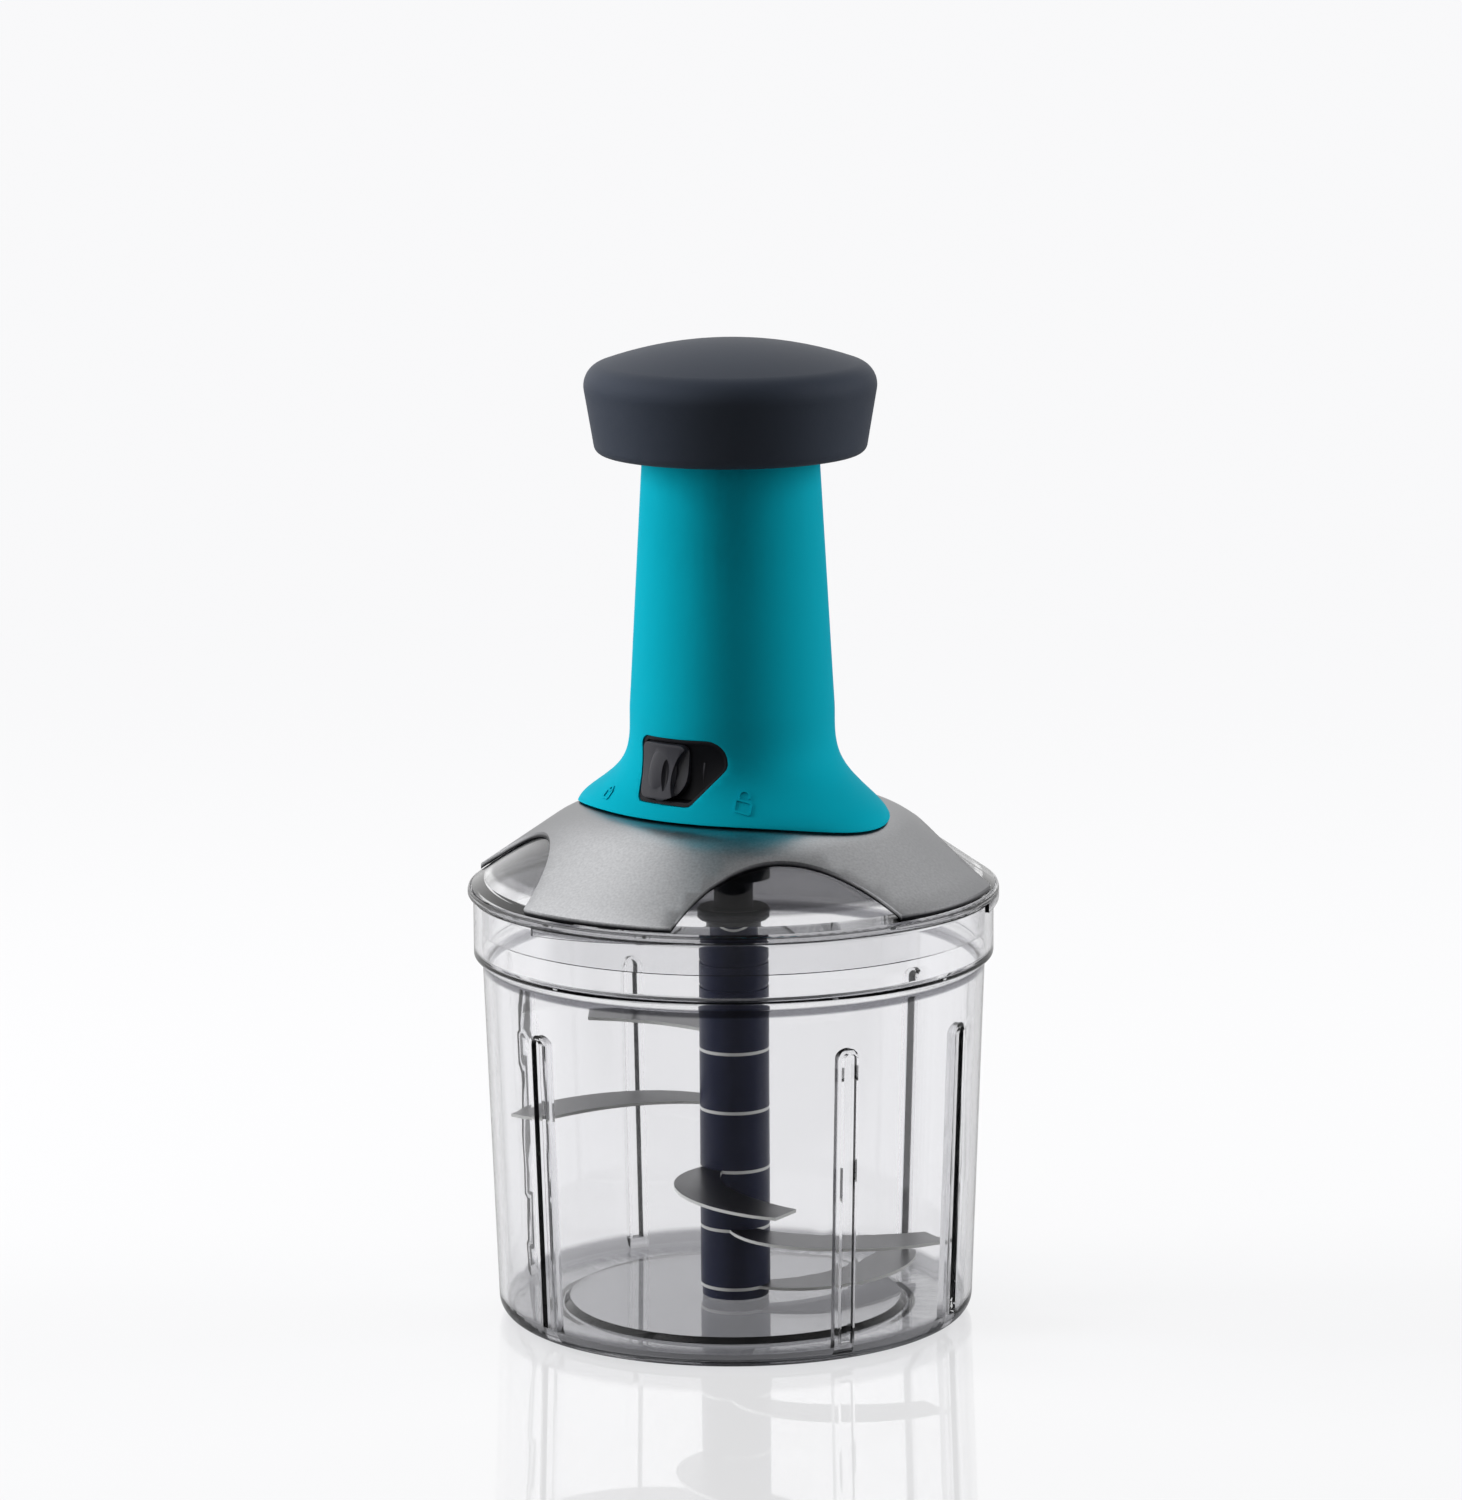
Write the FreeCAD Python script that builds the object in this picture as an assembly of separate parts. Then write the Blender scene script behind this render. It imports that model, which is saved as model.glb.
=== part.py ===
import FreeCAD, Part
import math
import os

# Push-down food chopper: a clear bowl with a stacked blade shaft on a centre
# pin, and a lid that carries a waisted column.  Inside the column a sprung
# plunger slides; its nut drives a twisted rod, and a one-way clutch under the
# rod turns the blade shaft.  Millimetres, +Z up, origin on the bowl's axis in
# the plane that it stands on.  Azimuths are in degrees, 0 towards -Y (the
# front) and positive towards +X.

os.makedirs("parts", exist_ok=True)
V = FreeCAD.Vector
UP = V(0, 0, 1)
ORIGIN = V(0, 0, 0)

# ---- clearances -------------------------------------------------------------
SKIN_GAP = 0.2          # between curved shells fixed to each other
MOVE_GAP = 0.3          # between curved faces of parts that move apart
RUN_GAP = 0.06          # radial clearance of a shaft in its bearing
FACE_GAP = 0.3          # between flat faces that turn or slide on each other
SPRING_GAP = 0.1        # at each end of a coil spring

# ---- bowl -------------------------------------------------------------------
BAND_R = 66.0           # outside of the upper band
BAND_H = 17.0           # from the shoulder's underside to the rim
RIM_Z = 109.0           # top edge of the bowl
SHOULDER_W = 2.2        # how far the band overhangs the wall
SHOULDER_H = 1.9
BOWL_DRAFT = 3.4        # how much narrower the wall is at the base plane
BOWL_WALL = 1.9
BASE_FILLET = 5.0
RECESS_MARGIN = 15.9    # from the base's edge to the recess under it
RECESS_DEPTH = 1.4
FLOOR_T = 2.4
FLOOR_STEP_W = 2.1      # how much smaller the raised disc of the floor is
PIN_R = 2.5             # steel centre pin
PIN_TOP_Z = 30.0
BUSH_LINER = 0.9        # wall of the bush on the pin
BUSH_HEADROOM = 6.0     # pin that stands clear above the bush
PIN_SINK = 1.2          # how far the pin is moulded into the floor

RIB_AZIMUTHS = (27.0, 64.5, 128.5, 207.0, 244.5, 308.5)
RIB_DEPTH = 2.1         # how far a rib stands into the bowl
RIB_WALL = 1.1
GROOVE_W = 3.2
RIB_HEAD_GAP = 12.5     # from a groove's top to the shoulder
RIB_HOOK = 4.0          # rounding of a rib's crest at its top end

# ---- blade stack ------------------------------------------------------------
SHAFT_R = 8.9
FOOT_STEP = 0.4         # how much smaller the lowest sleeve is
SHAFT_HEAD_H = 29.7     # from the top blade to the end of the shaft
CORE_AF = 9.0           # hexagonal core, across flats
CORE_FIT = 0.1
BLADE_T = 0.8
CORE_HEAD_H = 8.0       # from the top blade to the end of the core
BLADE_RISE = 3.1        # lowest blade's middle above the floor disc
BLADE_ROOT_SINK = 2.2   # how far a blade's edges start under the sleeves
BLADE_TIP_AZIMUTHS = (121.0, 69.0, 10.0, -81.0, -138.5)
TIP_GAP = 1.1           # blade tip to rib crest
END_CUT_ANGLE = 7.5     # slant of a blade's end, seen from the axis
SOCKET_AF = 9.0         # hexagonal drive socket in the top of the shaft
SOCKET_DEPTH = 12.0
GROOVE_DROPS = (13.7, 7.2)      # ring grooves below the top of the shaft
RING_GROOVE = 0.35
RING_GROOVE_H = 1.0

# ---- lid --------------------------------------------------------------------
LID_RISE = 22.5         # flat top of the lid above the bowl's rim
DOME_R = 23.0           # rounding between the flat top and the cone
PLATEAU_R = 33.0        # where the rounding starts
COVER_T = 1.2
COVER_SETBACK = 1.0     # cover's edge inside the rim flange's edge
COVER_EDGE_H = 4.05     # cover's edge above the flange's underside
LID_T = 2.0
FLANGE_OVERHANG = 1.4   # rim flange outside the bowl's band
FLANGE_LIP_H = 1.0
SKIRT_DEPTH = 8.0       # how far the lid reaches down into the bowl
SKIRT_T = 1.6
BOSS_R = 2.9            # screw bosses under the lid
WINDOW_AZIMUTH = 12.6
WINDOW_COUNT = 4
WINDOW_DEPTH = 18.4     # how far a window's arch reaches in from the cover's edge
WINDOW_ARCH_R = 42.0
TAB_COUNT = 3
TAB_AZIMUTH = -48.0     # stepped end of the first rim tab
TAB_SPAN = 40.0
TAB_DROP = 2.1

# ---- column -----------------------------------------------------------------
COLUMN_H = 89.3         # top of the column above the lid
COLUMN_TOP_R = 22.3
COLUMN_NECK_R = 25.9    # foot of the straight taper
COLUMN_WALL = 2.2
COLLAR_LONG_R = 43.6    # half length of the oval foot
COLLAR_SHORT_R = 31.8
COLLAR_AZIMUTH = 54.0   # direction of the oval's long axis
FLARE_H = 27.0
FLARE_SINK = 2.1        # foot of the flare below the lid's flat top
FOOT_DEPTH = 6.0        # column's foot below the flare, where the lid falls away
FLARE_SHAPE = 1.95
COLLAR_GAP = 0.6        # shadow gap between column and lid
POST_R = 3.4
POST_CIRCLE_R = 33.0
POST_SPREAD = 20.0      # each post's angle from the oval's long axis

# ---- plunger ----------------------------------------------------------------
STROKE = 52.0
SLEEVE_R = 19.2
SLEEVE_WALL = 1.8
SLEEVE_FOOT_GAP = 2.8   # under the sleeve when the plunger is down
CAP_GAP = 0.5           # between the column and the cap
CAP_H = 28.3
CAP_BOTTOM_R = 34.0
CAP_TAPER = 0.169       # growth of the cap's radius per millimetre of height
CAP_DOME_R = 98.0
CAP_ROUND = 6.0
CAP_EDGE_ROUND = 2.4
CAP_SKIN = 2.4
CAP_PLATE_T = 2.0
CAP_PLATE_SINK = 0.4    # plate's face inside the cap's mouth
SLEEVE_FLANGE_T = 2.6
SLEEVE_FLANGE_W = 3.3
CAP_CORE_T = 3.0
CAP_RIB_T = 2.0
CAP_POST_CIRCLE_R = 26.5
CAP_RIBS = 6
NUT_TUBE_R = 10.3
NUT_TUBE_WALL = 2.0
NUT_H = 8.0
NUT_TUBE_GAP = 2.0      # under the nut tube when the plunger is down
NUT_TUBE_FLANGE_T = 1.5
NUT_INSET = 1.0
GUIDE_H = 8.0
GUIDE_WALL = 1.4

# ---- drive ------------------------------------------------------------------
ROD_SIDE = 6.2          # twisted square bar
ROD_ROUND = 0.8
ROD_LEAD = 27.0         # length of one full twist
ROD_TOP_GAP = 12.3      # from the rod's end to the cap's core
ROD_JOURNAL_R = 4.4
NUT_GAP = 0.3
COUPLER_NECK_R = 7.0
COUPLER_COLLAR_R = 9.2
COUPLER_COLLAR_H = 3.1
COUPLER_NECK_H = 2.8
SPINDLE_R = 5.0
SPINDLE_SHOW = 7.6      # spindle that shows between the coupler and the hub
HUB_DEPTH = 19.5        # how far the hub hangs below the lid's flat top
HUB_NOSE_R = 9.4
HUB_NOSE_H = 5.0
HUB_R = 14.6
HUB_WALL = 2.4
HUB_FLANGE_R = 21.0
HUB_FLANGE_T = 2.5
HUB_FLOOR_T = 1.8
HUB_CAP_T = 2.2
SPIGOT_WALL = 2.0
SPIGOT_H = 2.0
LOCATOR_WALL = 1.2      # ring that centres the return spring
LOCATOR_H = 1.2
BUSH_WALL = 1.6
CLUTCH_R = 10.6
CLUTCH_H = 4.0
CLUTCH_TEETH = 10
TOOTH_H = 1.6
TOOTH_ROOT_GAP = 1.5    # from the spindle to the teeth
SPRING_WIRE_R = 0.9
SPRING_MEAN_R = 13.2
SPRING_TURNS = 12
CLUTCH_WIRE_R = 0.7
CLUTCH_SPRING_R = 7.4
CLUTCH_TURNS = 3

# ---- lock -------------------------------------------------------------------
LOCK_AZIMUTH = -30.5    # middle of the window for the button
LOCK_TRAVEL = 9.0       # degrees that the button slides
WINDOW_CORNERS = (      # across the window, height above its sill, rounding
    (-11.4, 0.2, 1.8),
    (-13.2, 16.3, 2.4),
    (11.3, 16.5, 5.4),
    (12.6, 9.8, 3.2),
    (4.6, 0.0, 2.6),
)
SILL_H = 4.2            # window's sill above the lid
TRAY_WALL = 0.9
TRAY_BACK_GAP = 1.3     # between the lock ring and the tray
TRAY_FLOOR_T = 0.7
TRAY_LIP = 0.35         # how far the tray's rim lies below the column's face
BUTTON_LEFT = -10.2     # button's lower left corner, across the window
BUTTON_W = 12.8
BUTTON_LEAN = 1.2       # how far its left side leans out towards the top
BUTTON_H = 12.2
BUTTON_LIFT = 2.2       # button's lower edge above the window's sill
BUTTON_PROUD = 1.3
BUTTON_ROUND = 2.2
BUTTON_NOSE_ROUND = 6.0 # its lower right corner
DISH_HALF_W = 1.9       # finger dish in its face
DISH_HALF_H = 5.2
DISH_RADIUS = 4.0
DISH_SETBACK = 2.6      # middle of the dish's ellipsoid outside the face
DETENT_BUMP_R = 1.0
NECK_AZIMUTH = -41.0
NECK_HALF_ANGLE = 4.0
NECK_H = 3.4
NECK_REACH = 1.0        # how far the neck runs into the button
DETENT_DEPTH = 1.2
NOTCH_MARGIN = 5.0      # degrees between the bump and its notch's ends
LOCK_RING_WALL = 3.3
LOCK_RING_H = 12.4
LUG_DEPTH = 1.5
LUG_H = 3.5
LUG_ANGLE = 14.0
LUG_COUNT = 3
LUG_RISE = 4.0          # lugs above the sleeve's end
LUG_HEADROOM = 1.0
SLOT_MARGIN = 2.0       # degrees between a lug and its slot's ends
DETENT_SPAN = 14.0      # half angle of the leaf spring
DETENT_H = 4.4
DETENT_WIRE = 0.4
DETENT_GAP = 0.25
DETENT_AZIMUTH = 120.0

# ---- screws -----------------------------------------------------------------
SCREW_R = 1.4
SCREW_HEAD_R = 2.6
SCREW_HEAD_H = 1.7
HUB_SCREW_CIRCLE_R = 18.0
HUB_SCREW_COUNT = 3
HUB_SCREW_LENGTH = 12.0
HEAD_GAP = 0.4          # round a screw's head in its counterbore
BOSS_FLOOR_T = 2.3      # closed end of a boss under its screw
COLUMN_SCREW_REACH = 4.2        # how far a column screw runs above the lid
COUNTERBORE = 1.2


# ---- heights and radii that follow ------------------------------------------
SHOULDER_Z = RIM_Z - BAND_H
BOWL_TOP_R = BAND_R - SHOULDER_W
BOWL_BASE_R = BOWL_TOP_R - BOWL_DRAFT
RECESS_R = BOWL_BASE_R - RECESS_MARGIN
FLOOR_STEP_R = RECESS_R - FLOOR_STEP_W
FLOOR_TOP_Z = FLOOR_T + RECESS_DEPTH
RIB_TOP_Z = SHOULDER_Z - RIB_HEAD_GAP
BAND_INNER_R = BAND_R - BOWL_WALL
BAND_FLOOR_Z = SHOULDER_Z + SHOULDER_H + BOWL_WALL * 0.9
FLANGE_R = BAND_R + FLANGE_OVERHANG
FLANGE_LOW_Z = RIM_Z + FACE_GAP
COVER_EDGE_R = FLANGE_R - COVER_SETBACK
COVER_EDGE_Z = FLANGE_LOW_Z + COVER_EDGE_H
LID_TOP_Z = RIM_Z + LID_RISE
HUB_BOTTOM_Z = LID_TOP_Z - HUB_DEPTH
HUB_CAP_Z = LID_TOP_Z + HUB_FLANGE_T
HUB_CAP_TOP_Z = HUB_CAP_Z + HUB_CAP_T
COUPLER_TOP_Z = HUB_BOTTOM_Z - SPINDLE_SHOW
COUPLER_COLLAR_Z = COUPLER_TOP_Z - COUPLER_COLLAR_H
COUPLER_NECK_Z = COUPLER_COLLAR_Z - COUPLER_NECK_H
SHAFT_TOP_Z = COUPLER_NECK_Z - FACE_GAP
SHAFT_BOTTOM_Z = FLOOR_TOP_Z + FACE_GAP
FLARE_BOTTOM_Z = LID_TOP_Z - FLARE_SINK
COLUMN_TOP_Z = LID_TOP_Z + COLUMN_H
SILL_Z = LID_TOP_Z + SILL_H
SLEEVE_BOTTOM_Z = HUB_CAP_TOP_Z + SLEEVE_FOOT_GAP
CAP_BOTTOM_Z = COLUMN_TOP_Z + CAP_GAP
CAP_TOP_Z = CAP_BOTTOM_Z + CAP_H
PAST = 1.0              # how far a cutting tool runs past the face that it cuts


# ---- geometry helpers -------------------------------------------------------
def direction(azimuth):
    """Unit vector in the base plane for an azimuth."""
    angle = math.radians(azimuth)
    return V(math.sin(angle), -math.cos(angle), 0)


def at(radius, azimuth, z=0.0):
    point = direction(azimuth) * radius
    point.z = z
    return point


def cylinder(radius, low, high, centre=ORIGIN):
    return Part.makeCylinder(radius, high - low, V(centre.x, centre.y, low))


def tube(outer, inner, low, high, centre=ORIGIN):
    return cylinder(outer, low, high, centre).cut(cylinder(inner, low - PAST, high + PAST, centre))


def rounded_edges(corners, place):
    """Closed outline through corners (u, v, rounding), each corner a tangent arc."""
    count = len(corners)
    starts, ends, middles = [], [], []
    for i in range(count):
        u, v, rounding = corners[i]
        here = V(u, v, 0)
        before = V(corners[i - 1][0], corners[i - 1][1], 0) - here
        after = V(corners[(i + 1) % count][0], corners[(i + 1) % count][1], 0) - here
        half_angle = before.getAngle(after) / 2
        before.normalize()
        after.normalize()
        reach = rounding / math.tan(half_angle)
        starts.append(here + before * reach)
        ends.append(here + after * reach)
        inward = before + after
        if rounding > 0:
            inward.normalize()
            inward = inward * (rounding / math.sin(half_angle) - rounding)
        middles.append(here + inward)
    edges = []
    for i in range(count):
        if corners[i][2] > 0:
            edges.append(Part.Arc(place(starts[i]), place(middles[i]), place(ends[i])).toShape())
        following = (i + 1) % count
        if ends[i].distanceToPoint(starts[following]) > 1e-6:
            edges.append(Part.LineSegment(place(ends[i]), place(starts[following])).toShape())
    return edges


def revolved(corners):
    """Solid of revolution from corners (radius, height, rounding)."""
    edges = rounded_edges(corners, lambda p: V(p.x, 0, p.y))
    return Part.Face(Part.Wire(edges)).revolve(ORIGIN, UP, 360)


def radial_prism(corners, azimuth, near, far):
    """Prism along a radius, its outline given across the radius and in height."""
    side = direction(azimuth + 90)
    edges = rounded_edges(corners, lambda p: at(near, azimuth, p.y) + side * p.x)
    return Part.Face(Part.Wire(edges)).extrude(direction(azimuth) * (far - near))


def tangential_prism(corners, azimuth, width):
    """Prism across a radius, its outline given in radius and height."""
    side = direction(azimuth + 90)
    edges = rounded_edges(corners, lambda p: at(p.x, azimuth, p.y) - side * (width / 2))
    return Part.Face(Part.Wire(edges)).extrude(side * width)


def sector(outer, inner, low, high, start, end):
    """Part of a ring between two azimuths."""
    box = Part.makeCylinder(outer, high - low, V(0, 0, low), UP, end - start)
    box.rotate(ORIGIN, UP, start - 90)
    return box.cut(cylinder(inner, low - PAST, high + PAST))


def hexagon(across_flats, low, high):
    corner_r = across_flats / math.sqrt(3)
    points = [at(corner_r, 60 * i, low) for i in range(7)]
    return Part.Face(Part.makePolygon(points)).extrude(UP * (high - low))


def coil(mean_r, wire_r, low, high, turns, left_handed=False):
    """Round wire wound between two heights, outer faces of the wire at them."""
    height = high - low - 2 * wire_r
    helix = Part.makeHelix(height / turns, height, mean_r, 0, left_handed)
    section = Part.Wire(Part.makeCircle(wire_r, V(mean_r, 0, 0), V(0, 1, 0)))
    wire = Part.Wire(helix).makePipeShell([section], True, True)
    wire.translate(V(0, 0, low + wire_r))
    return wire


def twisted_bar(side, rounding, low, high):
    """Left-handed twisted square bar about Z; its twist depends on height alone."""
    half = side / 2
    corners = [(half, half, rounding), (-half, half, rounding),
               (-half, -half, rounding), (half, -half, rounding)]
    section = Part.Wire(rounded_edges(corners, lambda p: V(p.x, p.y, 0)))
    spine = Part.Wire(Part.LineSegment(ORIGIN, UP * (high - low)).toShape())
    guide = Part.Wire(Part.makeHelix(ROD_LEAD, high - low, side, 0, True))
    sweep = Part.BRepOffsetAPI.MakePipeShell(spine)
    sweep.setAuxiliarySpine(guide, True, 0)
    sweep.add(section)
    sweep.build()
    sweep.makeSolid()
    bar = Part.Solid(sweep.shape())
    bar.translate(UP * low)
    bar.rotate(ORIGIN, UP, -360 * low / ROD_LEAD)
    return bar


def screw(point, length, upward, head_r=SCREW_HEAD_R, shank_r=SCREW_R):
    """Pan-head screw; point is under its head, and the shank runs from there."""
    way = UP if upward else UP * -1
    shank = Part.makeCylinder(shank_r, length, point, way)
    head = Part.makeCylinder(head_r, SCREW_HEAD_H, point - way * SCREW_HEAD_H, way)
    driven_face = max(head.Edges, key=lambda e: -(e.CenterOfMass - point).dot(way))
    head = head.makeFillet(SCREW_HEAD_H * 0.45, [driven_face])
    slot_start = point - way * (SCREW_HEAD_H + 0.5)
    for turn in (0, 90):
        blade = Part.makeBox(head_r * 1.2, 0.6, 1.4, V(-head_r * 0.6, -0.3, -0.7))
        blade.rotate(ORIGIN, UP, turn)
        blade.translate(slot_start + way * 0.7)
        head = head.cut(blade)
    return shank.fuse(head)


def write(name, shape):
    shape = shape.removeSplitter() if shape.ShapeType != "Compound" else shape
    solids = shape.Solids
    assert solids and all(s.isValid() for s in solids), name
    result = solids[0] if len(solids) == 1 else Part.makeCompound(solids)
    result.exportStep("parts/" + name + ".step")


# ---- bowl -------------------------------------------------------------------
def bowl_outer_r(z):
    return BOWL_BASE_R + (BOWL_TOP_R - BOWL_BASE_R) * z / SHOULDER_Z


def bowl_inner_r(z):
    return bowl_outer_r(z) - BOWL_WALL


def rib_crest_r(z):
    return bowl_inner_r(z) - RIB_DEPTH


def rib_side(inset, top):
    """Side outline of a rib or groove that stays inset outside the crest line."""
    outside = BAND_R + 2 * PAST
    return [(rib_crest_r(-PAST) + inset, -PAST, 0),
            (rib_crest_r(top) + inset, top, RIB_HOOK),
            (outside, top + RIB_HOOK, 0),
            (outside, -PAST, 0)]


def rib_front(width, low, top):
    """Front outline of a rib or groove, with a round head."""
    half = width / 2
    return [(-half, low, 0), (half, low, 0), (half, top, half * 0.98), (-half, top, half * 0.98)]


def make_bowl():
    outside = revolved([
        (0, RECESS_DEPTH, 0),
        (RECESS_R, RECESS_DEPTH, 0.5),
        (RECESS_R + RECESS_DEPTH, 0, 0.6),
        (bowl_outer_r(0), 0, BASE_FILLET),
        (BOWL_TOP_R, SHOULDER_Z, 1.0),
        (BAND_R, SHOULDER_Z + SHOULDER_H, 0.9),
        (BAND_R, RIM_Z, 0.7),
        (0, RIM_Z, 0)])
    cavity = revolved([
        (0, FLOOR_TOP_Z, 0),
        (FLOOR_STEP_R, FLOOR_TOP_Z, 0.5),
        (FLOOR_STEP_R + RECESS_DEPTH, FLOOR_T, 0.5),
        (bowl_inner_r(FLOOR_T), FLOOR_T, BASE_FILLET - BOWL_WALL),
        (bowl_inner_r(SHOULDER_Z), BAND_FLOOR_Z - SHOULDER_H * 1.7, 1.0),
        (BAND_INNER_R, BAND_FLOOR_Z, 0.6),
        (BAND_INNER_R, RIM_Z + PAST, 0),
        (0, RIM_Z + PAST, 0)])
    bowl = outside.cut(cavity)
    rib_width = GROOVE_W + 2 * RIB_WALL
    for azimuth in RIB_AZIMUTHS:
        rib = tangential_prism(rib_side(0, RIB_TOP_Z + RIB_WALL), azimuth, rib_width + PAST)
        head = radial_prism(rib_front(rib_width, FLOOR_T - 0.5, RIB_TOP_Z + RIB_WALL),
                            azimuth, RECESS_R, BAND_R)
        bowl = bowl.fuse(rib.common(head).common(outside))
    for azimuth in RIB_AZIMUTHS:
        groove = tangential_prism(rib_side(RIB_WALL, RIB_TOP_Z), azimuth, GROOVE_W + PAST)
        head = radial_prism(rib_front(GROOVE_W, BASE_FILLET, RIB_TOP_Z), azimuth, RECESS_R, BAND_R + PAST)
        bowl = bowl.cut(groove.common(head))
    pin_hole = cylinder(PIN_R, FLOOR_TOP_Z - PIN_SINK, FLOOR_TOP_Z + PAST)
    return bowl.cut(pin_hole)


def make_bowl_pin():
    pin = cylinder(PIN_R, FLOOR_TOP_Z - PIN_SINK, PIN_TOP_Z)
    top = max(pin.Edges, key=lambda e: e.CenterOfMass.z)
    return pin.makeFillet(PIN_R * 0.4, [top])


# ---- blade stack ------------------------------------------------------------
BLADE_LOW_Z = FLOOR_TOP_Z + BLADE_RISE
BLADE_HIGH_Z = SHAFT_TOP_Z - SHAFT_HEAD_H
BLADE_PITCH = (BLADE_HIGH_Z - BLADE_LOW_Z) / (len(BLADE_TIP_AZIMUTHS) - 1)
BLADE_LEVELS = [BLADE_LOW_Z + BLADE_PITCH * i for i in range(len(BLADE_TIP_AZIMUTHS))]
CORE_TOP_Z = BLADE_HIGH_Z + CORE_HEAD_H
SLEEVE_AF = CORE_AF + 2 * CORE_FIT
BUSH_R = PIN_R + BUSH_LINER


def make_blade(level, tip_azimuth):
    """Sickle blade: bulging leading edge, hollow trailing edge, slanted end."""
    tip_r = rib_crest_r(level) - TIP_GAP
    root_r = SHAFT_R - BLADE_ROOT_SINK
    low = level - BLADE_T / 2
    leading = [(root_r, -85), (tip_r * 0.42, -50), (tip_r * 0.70, -25), (tip_r, 0)]
    trailing = [(tip_r * 0.88, END_CUT_ANGLE), (tip_r * 0.58, -6), (tip_r * 0.40, -16), (root_r, -35)]
    leading = [at(r, tip_azimuth + a, low) for r, a in leading]
    trailing = [at(r, tip_azimuth + a, low) for r, a in trailing]
    front, back = Part.BSplineCurve(), Part.BSplineCurve()
    front.interpolate(leading)
    back.interpolate(trailing)
    outline = Part.Wire([
        front.toShape(),
        Part.LineSegment(leading[-1], trailing[0]).toShape(),
        back.toShape(),
        Part.LineSegment(trailing[-1], leading[0]).toShape()])
    arm = Part.Face(outline).extrude(UP * BLADE_T)
    hub = cylinder(SHAFT_R, low, low + BLADE_T)
    return arm.fuse(hub).cut(hexagon(SLEEVE_AF, low - PAST, low + BLADE_T + PAST))


def make_spacer(low, high, radius=SHAFT_R):
    return cylinder(radius, low, high).cut(hexagon(SLEEVE_AF, low - PAST, high + PAST))


def make_blade_core():
    """Hexagonal core that keys the blades, with the bore for the centre pin."""
    core = hexagon(CORE_AF, SHAFT_BOTTOM_Z, CORE_TOP_Z)
    bore = cylinder(BUSH_R, SHAFT_BOTTOM_Z - PAST, PIN_TOP_Z + FACE_GAP * 3)
    return core.cut(bore)


def make_shaft_bush():
    return tube(BUSH_R - 0.02, PIN_R + RUN_GAP, SHAFT_BOTTOM_Z, PIN_TOP_Z - BUSH_HEADROOM)


def make_shaft_upper():
    low = BLADE_LEVELS[-1] + BLADE_T / 2
    shaft = cylinder(SHAFT_R, low, SHAFT_TOP_Z)
    rim = max(shaft.Edges, key=lambda e: e.CenterOfMass.z)
    shaft = shaft.makeChamfer(0.5, [rim])
    shaft = shaft.cut(hexagon(SLEEVE_AF, low - PAST, CORE_TOP_Z + CORE_FIT))
    shaft = shaft.cut(hexagon(SOCKET_AF, SHAFT_TOP_Z - SOCKET_DEPTH, SHAFT_TOP_Z + PAST))
    for drop in GROOVE_DROPS:
        z = SHAFT_TOP_Z - drop
        shaft = shaft.cut(tube(SHAFT_R + PAST, SHAFT_R - RING_GROOVE, z, z + RING_GROOVE_H))
    return shaft


# ---- lid --------------------------------------------------------------------
def cone_slope():
    """Slope of the lid's cone, which runs from the rounding to the cover's edge."""
    run = COVER_EDGE_R - PLATEAU_R
    fall = LID_TOP_Z - COVER_EDGE_Z
    spare = fall - 2 * DOME_R
    return 2 * math.atan((math.sqrt(run ** 2 + fall * spare) - run) / spare)


def under_dome(offset, edge_r, floor_z):
    """Solid below the lid's outer surface, moved out by offset, out to edge_r."""
    slope = cone_slope()
    top = LID_TOP_Z + offset
    corner_r = PLATEAU_R + (DOME_R + offset) * math.tan(slope / 2)
    edge_z = top - (edge_r - corner_r) * math.tan(slope)
    return revolved([(0, floor_z, 0), (0, top, 0), (corner_r, top, DOME_R + offset),
                     (edge_r, edge_z, 0), (edge_r, floor_z, 0)])


SKIRT_R = BAND_INNER_R - MOVE_GAP
SKIRT_LOW_Z = RIM_Z - SKIRT_DEPTH
LID_OFFSET = -(COVER_T + SKIN_GAP)
HUB_HOLE_R = HUB_R + SKIN_GAP
POST_AZIMUTHS = [COLLAR_AZIMUTH + half + side * POST_SPREAD
                 for half in (0, 180) for side in (-1, 1)]
HUB_SCREW_AZIMUTHS = [LOCK_AZIMUTH + 60 + 360 / HUB_SCREW_COUNT * i for i in range(HUB_SCREW_COUNT)]


def make_lid_cover():
    cover = under_dome(0, COVER_EDGE_R, FLANGE_LOW_Z)
    cover = cover.cut(under_dome(-COVER_T, COVER_EDGE_R + PAST, FLANGE_LOW_Z - PAST))
    cover = cover.cut(cylinder(HUB_HOLE_R, FLANGE_LOW_Z, LID_TOP_Z + PAST))
    for i in range(WINDOW_COUNT):
        azimuth = WINDOW_AZIMUTH + 360 / WINDOW_COUNT * i
        centre = at(COVER_EDGE_R - WINDOW_DEPTH + WINDOW_ARCH_R, azimuth)
        cover = cover.cut(cylinder(WINDOW_ARCH_R, FLANGE_LOW_Z - PAST, LID_TOP_Z + PAST, centre))
    for azimuth in POST_AZIMUTHS:
        cover = cover.cut(cylinder(SCREW_R + SKIN_GAP, FLANGE_LOW_Z, LID_TOP_Z + PAST,
                                   at(POST_CIRCLE_R, azimuth)))
    for azimuth in HUB_SCREW_AZIMUTHS:
        cover = cover.cut(cylinder(SCREW_R + SKIN_GAP, FLANGE_LOW_Z, LID_TOP_Z + PAST,
                                   at(HUB_SCREW_CIRCLE_R, azimuth)))
    return cover


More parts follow.
